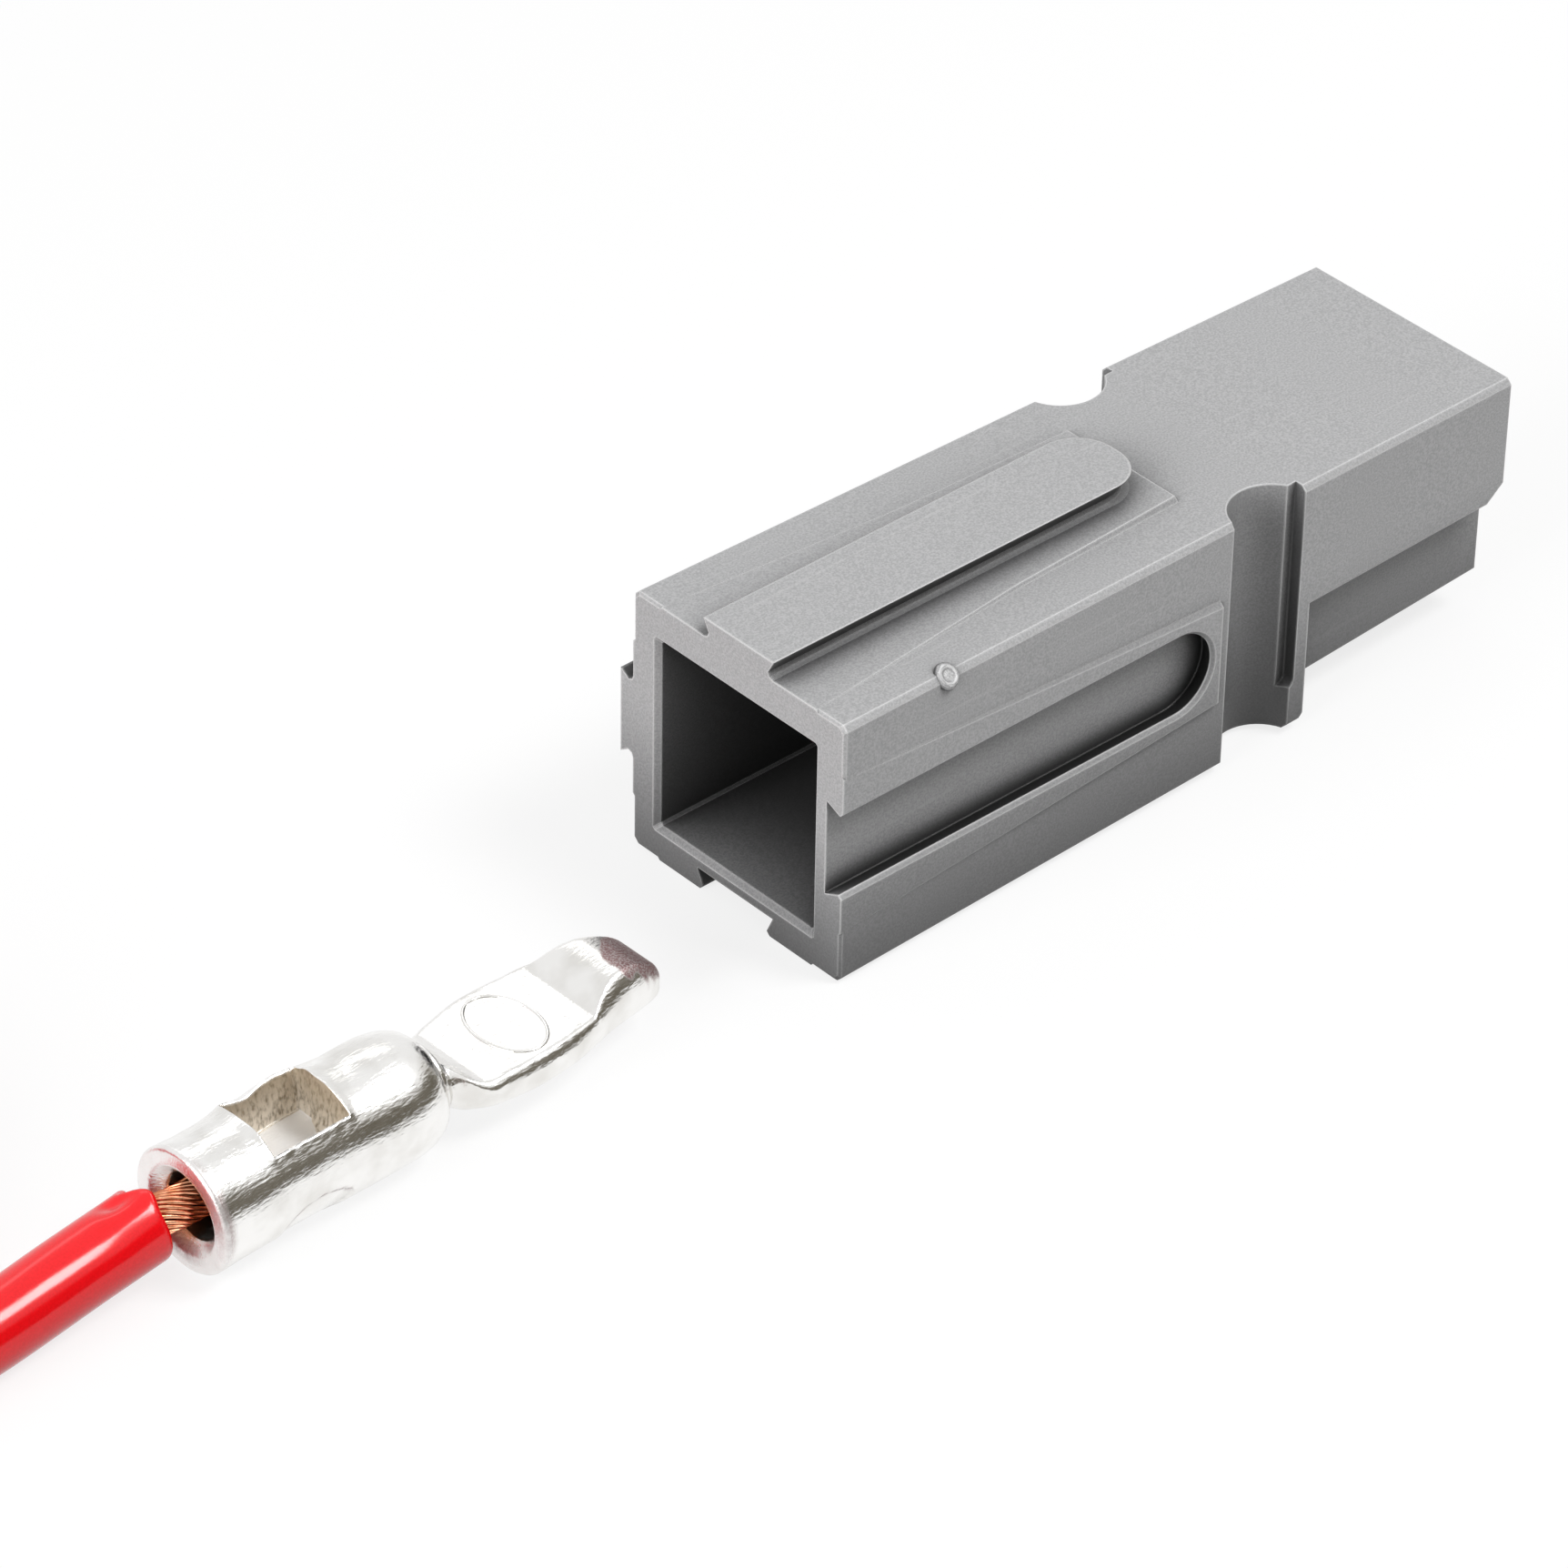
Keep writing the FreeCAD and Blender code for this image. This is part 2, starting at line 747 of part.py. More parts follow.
def make_conductor(lead):
    """The bare strands, pressed flat under the indent, as far as the cut face of the lead."""
    radius = conductor_diameter / 2
    end = bore_depth - 0.7
    long_enough = 2 * bare_length
    strands = Part.makeCylinder(
        radius, long_enough + end, Vector(-long_enough, conductor_off_axis, -conductor_below_axis),
        Vector(1, 0, 0))
    lower = indent_floor - indent_skin - conductor_clearance
    first = indent_from_rear - indent_wall - conductor_clearance
    last = indent_from_rear + indent_length + indent_wall + conductor_clearance
    strands = strands.cut(box(first, last, -9, 9, lower, 9))
    pressed = Part.makeCylinder(
        bore_diameter / 2 - conductor_clearance, last - first, Vector(first, 0, 0), Vector(1, 0, 0))
    pressed = pressed.cut(box(first - 1, last + 1, -9, 9, lower, 9))
    return place_contact(strands.fuse(pressed)).cut(lead)


solids = {"housing": make_housing(), "leaf_spring": make_spring(), "contact": make_contact()}
solids["lead"] = make_lead()
solids["lead_coil"] = make_coil()
solids["conductor"] = make_conductor(solids["lead"])

# The frame's origin is the middle of the underside of the box round housing and contact
around = solids["housing"].optimalBoundingBox(False, False)
around.add(solids["contact"].optimalBoundingBox(False, False))
origin = Vector(around.Center.x, around.Center.y, around.ZMin)
print("origin", [round(value, 4) for value in origin])

for name, solid in solids.items():
    if solid.ShapeType == "Compound" and len(solid.Solids) == 1:
        solid = solid.Solids[0]
    solid.translate(origin * -1)
    print(name, round(solid.Volume, 1), "valid" if solid.isValid() else "not valid")
    solid.exportStep("parts/%s.step" % name)
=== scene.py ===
import bpy
import bmesh
import math
import random
from mathutils import Matrix, Vector, noise


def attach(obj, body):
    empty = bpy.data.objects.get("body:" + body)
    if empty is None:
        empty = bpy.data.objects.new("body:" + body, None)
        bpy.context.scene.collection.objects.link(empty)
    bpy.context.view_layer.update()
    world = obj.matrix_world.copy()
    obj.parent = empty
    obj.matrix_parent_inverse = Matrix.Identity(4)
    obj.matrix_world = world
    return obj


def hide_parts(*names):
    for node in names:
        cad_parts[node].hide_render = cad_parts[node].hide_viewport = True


# A single-pole genderless power connector, with its crimped contact and its lead laid out in
# front of the cable entry. Sizes are in millimetres. Places on the object are measured from the
# middle of the housing's cable end, as in the part's source, and the floor, the room and the
# lamps stand in the axes of the frame.

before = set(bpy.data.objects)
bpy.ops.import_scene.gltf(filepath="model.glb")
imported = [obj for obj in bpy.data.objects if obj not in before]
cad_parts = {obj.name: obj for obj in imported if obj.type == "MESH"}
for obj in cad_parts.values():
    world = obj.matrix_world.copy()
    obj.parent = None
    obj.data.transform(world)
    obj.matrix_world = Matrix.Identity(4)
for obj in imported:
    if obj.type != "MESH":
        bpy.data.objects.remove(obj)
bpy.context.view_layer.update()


# Camera: a long lens, looking down at the cable end from the front left, as in the photograph.

MM = 0.001
CABLE_END = Vector((-4.7529, -0.475, 0.0))


def at(x, y, z):
    """A place measured from the middle of the housing's cable end, in the frame's metres."""
    return (Vector((x, y, z)) + CABLE_END) * MM


camera = bpy.data.objects.new("camera", bpy.data.cameras.new("camera"))
bpy.context.scene.collection.objects.link(camera)
camera.data.sensor_width = 36.0
camera.data.lens = 173.63
camera.data.clip_start = 10.0 * MM
camera.location = at(-203.858, -224.873, 233.250)
camera.rotation_euler = [math.radians(turn) for turn in (53.43, -0.84, -42.02)]
bpy.context.scene.camera = camera
bpy.context.scene.view_settings.view_transform = "Standard"


# Floor and room: a sweep of white paper under soft lamps, which keeps the object's shadow. The
# room is pale, but dim low down on the near side, and in mirrors the paper ends a little way in
# front of the object. The metal shows the two as its one dark band.

def colour(code):
    """An sRGB hex colour as linear values, with full alpha."""
    parts = [int(code[i:i + 2], 16) / 255 for i in (0, 2, 4)]
    linear = [p / 12.92 if p <= 0.04045 else ((p + 0.055) / 1.055) ** 2.4 for p in parts]
    return (*linear, 1.0)


def add(tree, kind, settings=None, **links):
    """A node with its settings. A link is a value, a socket, or a node whose first output in
    use is meant. Sockets that share a name take a list of links."""
    node = tree.nodes.new(kind)
    for name, value in (settings or {}).items():
        setattr(node, name, value)
    for name, given in links.items():
        sockets = [own for own in node.inputs if own.enabled and own.name == name.replace("_", " ")]
        if not sockets:
            raise KeyError(f"{kind} has no input called {name}")
        for socket, link in zip(sockets, given if len(sockets) > 1 else [given]):
            if isinstance(link, bpy.types.Node):
                link = next(output for output in link.outputs if output.enabled)
            if isinstance(link, bpy.types.NodeSocket):
                tree.links.new(link, socket)
            else:
                socket.default_value = link
    return node


def new_material(name):
    """An empty node material, and its tree."""
    material = bpy.data.materials.new(name)
    material.use_nodes = True
    material.node_tree.nodes.clear()
    return material, material.node_tree


smooth = {"interpolation_type": "SMOOTHSTEP"}
times = {"operation": "MULTIPLY"}
larger = {"operation": "MAXIMUM"}
dot = {"operation": "DOT_PRODUCT"}
in_colour = {"data_type": "RGBA"}

floor_half = 1500.0 * MM
floor_below = 0.05 * MM
floor_mesh = bpy.data.meshes.new("floor")
floor_mesh.from_pydata(
    [(-floor_half, -floor_half, 0), (floor_half, -floor_half, 0), (floor_half, floor_half, 0),
     (-floor_half, floor_half, 0)], [], [(0, 1, 2, 3)])
floor = bpy.data.objects.new("floor", floor_mesh)
floor.location.z = -floor_below
bpy.context.scene.collection.objects.link(floor)

# The paper is lit white for the camera, mirrors and glass, and is matt for light that is spread.
# In mirrors it fades out to dark in front of the object, between two places along Y.
paper, tree = new_material("white_paper_sweep")
paper_ends = -40.0
dark_from = -60.0
rays = add(tree, "ShaderNodeLightPath")
camera_or_mirror = add(
    tree, "ShaderNodeMath", larger,
    Value=[rays.outputs["Is Camera Ray"], rays.outputs["Is Glossy Ray"]])
seen = add(
    tree, "ShaderNodeMath", larger, Value=[camera_or_mirror, rays.outputs["Is Transmission Ray"]])
spot = add(tree, "ShaderNodeTexCoord").outputs["Object"]
sideways = add(tree, "ShaderNodeSeparateXYZ", Vector=spot).outputs["Y"]
past_end = add(
    tree, "ShaderNodeMapRange", smooth, Value=sideways, From_Min=paper_ends * MM,
    From_Max=dark_from * MM)
past_paper = add(
    tree, "ShaderNodeMath", times, Value=[rays.outputs["Is Glossy Ray"], past_end])
paper_tone = add(
    tree, "ShaderNodeMix", in_colour, Factor=seen, A=colour("B4B4B4"), B=colour("FFFFFF"))
floor_tone = add(
    tree, "ShaderNodeMix", in_colour, Factor=past_paper, A=paper_tone, B=colour("4A4740"))
matt = add(tree, "ShaderNodeBsdfDiffuse", Color=floor_tone)
lit_from_behind = add(tree, "ShaderNodeEmission", Color=colour("FFFFFF"), Strength=1.0)
lit_share = add(tree, "ShaderNodeMapRange", smooth, Value=past_paper, To_Min=0.80, To_Max=0.02)
white_share = add(tree, "ShaderNodeMath", times, Value=[seen, lit_share])
sweep = add(tree, "ShaderNodeMixShader", Fac=white_share, Shader=[matt, lit_from_behind])
add(tree, "ShaderNodeOutputMaterial", Surface=sweep)
floor_mesh.materials.append(paper)

world = bpy.data.worlds.new("room")
bpy.context.scene.world = world
world.use_nodes = True
tree = world.node_tree
tree.nodes.clear()
toward_viewer = (0.15, -0.99, 0.0)
way = add(tree, "ShaderNodeTexCoord").outputs["Generated"]
height = add(tree, "ShaderNodeSeparateXYZ", Vector=way).outputs["Z"]
nearness = add(tree, "ShaderNodeVectorMath", dot, Vector=[way, toward_viewer])
near = add(tree, "ShaderNodeMapRange", smooth, Value=nearness, From_Min=0.1, From_Max=0.5)
low = add(
    tree, "ShaderNodeMapRange", smooth, Value=height, From_Min=0.36, From_Max=0.52, To_Min=1.0,
    To_Max=0.0)
near_and_low = add(tree, "ShaderNodeMath", times, Value=[near, low])
mirror_level = add(
    tree, "ShaderNodeMapRange", smooth, Value=near_and_low, To_Min=0.90, To_Max=0.23)
spread_level = add(
    tree, "ShaderNodeMapRange", smooth, Value=near_and_low, To_Min=0.37, To_Max=0.06)
rays = add(tree, "ShaderNodeLightPath")
level = add(
    tree, "ShaderNodeMix", Factor=rays.outputs["Is Glossy Ray"], A=spread_level, B=mirror_level)
room_tone = add(
    tree, "ShaderNodeMix", in_colour, Factor=near_and_low, A=colour("FFFFFF"),
    B=colour("D2C8B4"))
room = add(tree, "ShaderNodeBackground", Color=room_tone, Strength=level)
backdrop = add(tree, "ShaderNodeBackground", Color=colour("FFFFFF"), Strength=1.0)
around_set = add(
    tree, "ShaderNodeMixShader", Fac=rays.outputs["Is Camera Ray"], Shader=[room, backdrop])
add(tree, "ShaderNodeOutputWorld", Surface=around_set)

set_middle = Vector((-20.0, 0.0, 0.0)) * MM
lamp_distance = 600.0 * MM


def softbox(name, toward, width, depth, power):
    """A soft lamp in a direction from the set, facing it."""
    lamp = bpy.data.objects.new(name, bpy.data.lights.new(name, "AREA"))
    lamp.data.shape = "RECTANGLE"
    lamp.data.size = width * MM
    lamp.data.size_y = depth * MM
    lamp.data.energy = power
    aim = Vector(toward).normalized()
    lamp.location = set_middle + aim * lamp_distance
    lamp.rotation_euler = (-aim).to_track_quat("-Z", "Y").to_euler()
    bpy.context.scene.collection.objects.link(lamp)


softbox("overhead_softbox", toward=(0.36, -0.42, 0.83), width=200.0, depth=200.0, power=1.95)
softbox("back_strip", toward=(0.38, 0.65, 0.66), width=300.0, depth=90.0, power=0.11)
softbox("side_softbox", toward=(-0.86, -0.05, 0.38), width=350.0, depth=350.0, power=2.5)


# Housing: one injection moulding in grey polycarbonate, which keys with its neighbours by
# dovetail ribs and grooves. The mould's sparked faces leave a satin skin with a fine grain. Its
# edges shade as softly rounded, with a painted highlight, and its hollows get painted shade.

housing = bpy.data.objects["housing"]
polycarbonate, tree = new_material("moulded_polycarbonate_satin")
where = add(tree, "ShaderNodeTexCoord").outputs["Object"]

# The real grain is about 0.03 mm wide. It is drawn coarser, so that it shows.
grain_width = 0.11
grain = add(tree, "ShaderNodeTexNoise", Vector=where, Scale=1 / (grain_width * MM), Detail=2.0)
spread_grain = add(tree, "ShaderNodeMapRange", smooth, Value=grain, From_Min=0.3, From_Max=0.7)
pale_grain = add(
    tree, "ShaderNodeMix", in_colour, Factor=spread_grain, A=colour("9E9E9F"),
    B=colour("B6B6B7"))

# The melt ran along the housing, and left a few faint pale lines in the skin.
flow_length = 14.0
flow_width = 0.35
along_flow = add(
    tree, "ShaderNodeMapping", Vector=where,
    Scale=(1 / (flow_length * MM), 1 / (flow_width * MM), 1 / (flow_width * MM)))
flow = add(tree, "ShaderNodeTexNoise", Vector=along_flow, Scale=1.0, Detail=1.0)
fine_line = add(tree, "ShaderNodeMapRange", smooth, Value=flow, From_Min=0.71, From_Max=0.74)
faint_line = add(tree, "ShaderNodeMath", times, Value=[fine_line, 0.25])
with_lines = add(
    tree, "ShaderNodeMix", in_colour, Factor=faint_line, A=pale_grain, B=colour("C6C6C6"))

# Hollows get painted shade: walls within 10 mm of a place darken its colour as if they took light
# away, and where walls stand all round within 30 mm, as in the socket, they darken most of the
# rest.
openness = add(
    tree, "ShaderNodeAmbientOcclusion", {"samples": 12}, Distance=10.0 * MM).outputs["AO"]
wide_openness = add(
    tree, "ShaderNodeAmbientOcclusion", {"samples": 8}, Distance=30.0 * MM).outputs["AO"]
in_open_air = add(
    tree, "ShaderNodeMapRange", smooth, Value=wide_openness, From_Min=0.14, From_Max=0.42,
    To_Min=0.22, To_Max=1.0)
shaded = add(tree, "ShaderNodeMath", {"operation": "POWER"}, Value=[openness, 2.3])
lit = add(tree, "ShaderNodeMath", times, Value=[shaded, in_open_air])
# Painted shade: near black is mixed into the colour where a place is shut in.
with_painted_shade = add(
    tree, "ShaderNodeMix", in_colour, Factor=lit, A=colour("0A0A0A"), B=with_lines)

# Edges: the rounded normal leaves the flat one there. Those that stand out, away from the shade,
# get a painted highlight in pale grey.
edge_radius = 0.19
rounded = add(tree, "ShaderNodeBevel", {"samples": 6}, Radius=edge_radius * MM)
flat_normal = add(tree, "ShaderNodeNewGeometry").outputs["True Normal"]
turned = add(tree, "ShaderNodeVectorMath", dot, Vector=[rounded, flat_normal])
edge = add(tree, "ShaderNodeMapRange", smooth, Value=turned, From_Min=0.992, From_Max=0.92)
close_by = add(
    tree, "ShaderNodeAmbientOcclusion", {"samples": 4}, Distance=0.6 * MM).outputs["AO"]
convex = add(tree, "ShaderNodeMapRange", smooth, Value=close_by, From_Min=0.8, From_Max=0.97)
convex_edge = add(tree, "ShaderNodeMath", times, Value=[edge, convex])
unshaded = add(
    tree, "ShaderNodeMapRange", smooth, Value=openness, From_Min=0.5, From_Max=0.85, To_Min=0.25,
    To_Max=0.9)
# Painted highlight: pale grey is mixed in on convex edges that are out of the shade.
painted_edge_highlight = add(tree, "ShaderNodeMath", times, Value=[convex_edge, unshaded])
with_painted_highlight = add(
    tree, "ShaderNodeMix", in_colour, Factor=painted_edge_highlight, A=with_painted_shade, B=colour("ECECEC"))

grain_bump = add(
    tree, "ShaderNodeBump", Height=grain, Strength=0.10, Distance=0.05 * MM, Normal=rounded)
plastic = add(
    tree, "ShaderNodeBsdfPrincipled", Base_Color=with_painted_highlight, Roughness=0.42, IOR=1.585,
    Normal=grain_bump)
add(tree, "ShaderNodeOutputMaterial", Surface=plastic)
housing.data.materials.clear()
housing.data.materials.append(polycarbonate)


# Gate mark: where the runner was broken off the housing's long edge, a rough little ring of
# the same plastic is left, which stands less than a tenth of a millimetre proud.

def new_piece(name, bm, material):
    """A piece from mesh code, shaded smooth, riding with the connector."""
    mesh = bpy.data.meshes.new(name)
    bm.normal_update()
    bm.to_mesh(mesh)
    bm.free()
    mesh.polygons.foreach_set("use_smooth", [True] * len(mesh.polygons))
    mesh.materials.append(material)
    piece = bpy.data.objects.new(name, mesh)
    bpy.context.scene.collection.objects.link(piece)
    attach(piece, "root")
    return piece


def join_rings(bm, rings, closed_start=True, closed_end=True):
    """Quads between rings of equally many corners, and a flat cap at either end."""
    for ring, following in zip(rings, rings[1:]):
        count = len(ring)
        for i in range(count):
            j = (i + 1) % count
            bm.faces.new((ring[i], ring[j], following[j], following[i]))
    if closed_start:
        bm.faces.new(list(reversed(rings[0])))
    if closed_end:
        bm.faces.new(rings[-1])


gate_radius = 0.56
gate_roughness = 0.05
gate_steps = 40
gate_middle = at(7.05, -7.70, 15.65)
gate_faces = Vector((0.0, -0.72, 0.69)).normalized()
gate_turn = gate_faces.to_track_quat("Z", "X").to_matrix()
# Each ring's radius, as a share of the mark's, and how far it stands out
gate_rings = [
    (1.28, -0.30), (1.10, -0.05), (0.98, 0.04), (0.82, 0.06), (0.66, 0.0), (0.5, -0.02),
    (0.3, 0.03), (0.08, 0.01)]
bm = bmesh.new()
rings = []
for share, rise in gate_rings:
    ring = []
    for step in range(gate_steps):
        turn = math.tau * step / gate_steps
        rough = gate_roughness * noise.noise(
            Vector((math.cos(turn) * 2.5, math.sin(turn) * 2.5, share * 6)))
        reach = gate_radius * share + rough
        place = Vector((reach * math.cos(turn), reach * math.sin(turn), rise + rough * 0.6))
        ring.append(bm.verts.new(gate_middle + gate_turn @ place * MM))
    rings.append(ring)
join_rings(bm, rings)
gate_mark = new_piece("gate_mark", bm, polycarbonate)


# Leaf spring: one strip of stainless steel, blanked and bent, which sits inside the mating end
# and holds the contact there. Cold rolling leaves it half bright, with fine lines along it.

leaf_spring = bpy.data.objects["leaf_spring"]
spring_steel, tree = new_material("cold_rolled_stainless_strip")
where = add(tree, "ShaderNodeTexCoord").outputs["Object"]
# Rolling lines are about 0.01 mm wide. They are drawn coarser, so that they show.
line_width = 0.08
line_length = 6.0
rolled = add(
    tree, "ShaderNodeMapping", Vector=where,
    Scale=(1 / (line_length * MM), 1 / (line_width * MM), 1 / (line_length * MM)))
lines = add(tree, "ShaderNodeTexNoise", Vector=rolled, Scale=1.0, Detail=2.0)
steel_tone = add(
    tree, "ShaderNodeMix", in_colour, Factor=lines, A=colour("B9B7B3"), B=colour("D0CECA"))
steel_roughness = add(
    tree, "ShaderNodeMapRange", smooth, Value=lines, From_Min=0.3, From_Max=0.7, To_Min=0.24,
    To_Max=0.36)
steel = add(
    tree, "ShaderNodeBsdfPrincipled", Metallic=1.0, Base_Color=steel_tone,
    Roughness=steel_roughness)
add(tree, "ShaderNodeOutputMaterial", Surface=steel)
leaf_spring.data.materials.clear()
leaf_spring.data.materials.append(spring_steel)


# Contact: one piece of copper, turned at the rear, coined to a blade in front and silver plated.
# It is crimped on the wire by a square punch from above, which leaves a pit with torn walls.
# Its sections are seen along its axis: s runs forward from its rear end, angles from the top.

contact_turn = Matrix.Rotation(math.radians(1.16), 3, "Z")
barrel_radius = 3.34
contact_rear = Vector((-38.23, -3.45, barrel_radius))


def on_contact(along, across, up):
    """A place measured from the contact's own axis at its rear end."""
    return at(*(contact_turn @ Vector((along, across, up)) + contact_rear))


def eased(value, low, high):
    """From nought to one, gently, as a value goes from low to high."""
    share = min(max((value - low) / (high - low), 0.0), 1.0)
    return share * share * (3 - 2 * share)


def hill(value, middle, width):
    """A soft hill, one high, round its middle."""
    return math.exp(-((value - middle) / width) ** 2)


def through(s, places):
    """A smooth line through a few places, without overshoot, read at s."""
    if s <= places[0][0]:
        return places[0][1]
    if s >= places[-1][0]:
        return places[-1][1]
    rises = [(v1 - v0) / (s1 - s0) for (s0, v0), (s1, v1) in zip(places, places[1:])]
    slopes = [rises[0]]
    for one, other in zip(rises, rises[1:]):
        slopes.append(0.0 if one * other <= 0 else 2 * one * other / (one + other))
    slopes.append(rises[-1])
    for i, ((s0, v0), (s1, v1)) in enumerate(zip(places, places[1:])):
        if s <= s1:
            width = s1 - s0
            t = (s - s0) / width
            return (
                (1 + 2 * t) * (1 - t) ** 2 * v0 + t * (1 - t) ** 2 * width * slopes[i]
                + t * t * (3 - 2 * t) * v1 + t * t * (t - 1) * width * slopes[i + 1])


# The die left the blade's corners almost flat: three arcs, each a radius and the degrees turned
corner_arcs = [(0.25, 50), (1.45, 20), (0.40, 20)]


def coined_corner(share):
    """How far out and down a coined corner has come, at a share of the way along it."""
    way = share * sum(radius * math.radians(degrees) for radius, degrees in corner_arcs)
    out, down, turn = 0.0, 0.0, 0.0
    for radius, degrees in corner_arcs:
        ahead = turn + min(max(way, 0.0) / radius, math.radians(degrees))
        out += radius * (math.sin(ahead) - math.sin(turn))
        down += radius * (math.cos(turn) - math.cos(ahead))
        way -= radius * (ahead - turn)
        turn = ahead
    return out, down


corner_out, corner_down = coined_corner(1.0)


def round_bar(half, top, bottom, top_round, bottom_round, share, coin=0.0):
    """The right-hand outline of a bar with round corners, from its top middle to its foot."""
    flat = half - top_round
    top_bend = math.pi / 2 * top_round
    side = top - bottom - top_round - bottom_round
    foot_bend = math.pi / 2 * bottom_round
    way = share * (flat + top_bend + side + foot_bend + half - bottom_round)
    if way <= flat:
        return way, top
    way -= flat
    if way <= top_bend:
        turn = way / top_round
        coined_out, coined_down = coined_corner(way / top_bend)
        out = top_round * math.sin(turn)
        down = top_round * (1 - math.cos(turn))
        out += (coined_out / corner_out * top_round - out) * coin
        down += (coined_down / corner_out * top_round - down) * coin
        return flat + out, top - down
    way -= top_bend
    if way <= side:
        further_down = (corner_down / corner_out - 1) * top_round * coin
        return half, top - top_round - way - further_down * (1 - way / side)
    way -= side
    if way <= foot_bend:
        turn = way / bottom_round
        return (
            half - bottom_round * (1 - math.cos(turn)),
            bottom + bottom_round * (1 - math.sin(turn)))
    return half - bottom_round - (way - foot_bend), bottom


shoulder_start = 12.2
shoulder_end = 14.6
shoulder_front = 2.5
collar_radius = 2.1
collar_end = 15.1
neck_end = 16.2
ramp_start = 24.1
ramp_end = 25.4
hook_front = 28.6
tip = 29.75
blade_top = 0.41
blade_bottom = -1.49


def barrel_round(s):
    """The turned part's radius: a slightly flared rear, a bullet shoulder and a collar."""
    if s < shoulder_start:
        return barrel_radius + 0.07 * eased(s, 1.6, 0.2)
    if s < shoulder_end:
        t = (s - shoulder_start) / (shoulder_end - shoulder_start)
        return shoulder_front + (barrel_radius - shoulder_front) * math.sqrt(1 - t * t)
    return collar_radius


def outline_at(s):
    """The section at s: half width, top, bottom and the two corner radii."""
    if s <= collar_end:
        radius = barrel_round(s)
        return radius, radius, -radius, radius, radius
    half = through(s, [
        (collar_end, collar_radius), (15.5, 1.82), (neck_end, 2.25), (17.5, 2.93), (20.2, 3.25),
        (22.2, 3.13), (ramp_start, 2.75), (ramp_end, 2.42), (28.05, 2.05), (28.9, 1.83),
        (29.4, 1.42), (tip, 0.6)])
    top = through(s, [
        (collar_end, collar_radius), (15.32, 1.45), (15.75, 0.98), (neck_end, 0.66),
        (16.6, 0.47), (16.9, blade_top), (ramp_start, blade_top), (ramp_start + 0.12, 0.45),
        (ramp_end - 0.08, 1.13), (ramp_end + 0.12, 1.22), (26.1, 1.40), (26.75, 1.47),
        (27.6, 1.34), (28.3, 1.04), (28.9, 0.62), (29.3, 0.19), (29.6, -0.4), (tip, -0.95)])
    bottom = through(s, [
        (collar_end, -collar_radius), (15.5, -1.62), (neck_end, blade_bottom),
        (29.1, blade_bottom), (29.5, -1.4), (tip, -1.15)])
    tall = (top - bottom) / 2
    neck = eased(s, neck_end, collar_end)
    top_round = through(s, [
        (16.5, 0.34), (18.0, 0.52), (22.6, 0.52), (ramp_start, 0.34), (ramp_start + 0.5, 0.6),
        (ramp_end, 0.85), (26.8, 0.9), (28.2, 0.8), (tip, 0.4)])
    top_round = min(top_round + (2.0 - top_round) * neck, half * 0.98, tall * 0.98)
    foot_round = min(0.62 + 1.4 * neck, half * 0.98, tall * 0.98)
    return half, top, bottom, top_round, foot_round


pit_rear = 3.95
pit_front = 8.65
pit_middle = (pit_rear + pit_front) / 2
pit_half_angle = 41.2
pit_half = 1.98
pit_floor = 0.16
pit_lean = 0.26
floor_steps = 16
wall_steps = 9
rim_steps = floor_steps + wall_steps
side_steps = 55
half_steps = rim_steps + side_steps
floor_share = 37.0 / 180
rim_share = pit_half_angle / 180


def share_at(step):
    """How far round half a section a corner lies: close together on the pit's side walls."""
    if step <= floor_steps:
        return floor_share * step / floor_steps
    if step <= rim_steps:
        return floor_share + (rim_share - floor_share) * (step - floor_steps) / wall_steps
    return rim_share + (1 - rim_share) * (step - rim_steps) / side_steps


def angle_of(across, up):
    """The angle of a place round the contact's axis, in degrees from the top."""
    return math.degrees(math.atan2(across, up))


# The crimping die left an oval mark: its middle and half its size, along and in degrees round
die_mark_at = (6.1, -126)
die_mark_half = (2.3, 29)


def from_die_mark(s, angle):
    """How far a place is from the middle of the die's mark: one at its edge."""
    return math.hypot(
        (s - die_mark_at[0]) / die_mark_half[0], (angle - die_mark_at[1]) / die_mark_half[1])


def swell(s, angle):
    """How far the crimping press has moved the barrel's skin, outward being positive."""
    held = eased(s, 2.6, 4.6) * eased(s, 10.6, 8.6)
    outward = 0.30 * held * hill(angle, 58, 26)
    inward = 0.09 * held * hill(angle, -100, 30)
    past_end = max(pit_rear - s, s - pit_front, 0.0)
    past_side = max(abs(angle) - pit_half_angle, 0.0) * math.radians(barrel_radius)
    ragged = 0.75 + 0.7 * noise.noise(Vector((s * 1.6, angle * 0.05, 3.0)))
    lip = 0.11 * hill(math.hypot(past_end, past_side), 0, 0.32) * ragged
    die = 0.14 * eased(from_die_mark(s, angle), 1.0, 0.88)
    far_sag = 0.30 * hill(s, 5.4, 0.85) * hill(angle, 44, 13)
    corner_sag = 0.26 * hill(s, 9.0, 0.75) * hill(angle, 40, 13)
    scoop = 0.13 * hill(s, 10.3, 1.0) * hill(angle, -4, 30)
    return outward - inward + lip - die - far_sag - corner_sag - scoop


def far_spread(s):
    """How much further out the blade's far edge lies: it wasn't coined quite evenly."""
    return through(s, [
        (17.0, 0.0), (20.0, 0.24), (ramp_start, 0.46), (ramp_end, 0.56), (26.6, 0.42),
        (27.8, 0.1), (hook_front, 0.0)])


def near_spread(s):
    """How much further out the top of the near edge lies, where the blade begins."""
    return through(s, [(15.9, 0.0), (16.9, 0.42), (18.2, 0.22), (20.0, 0.0)])


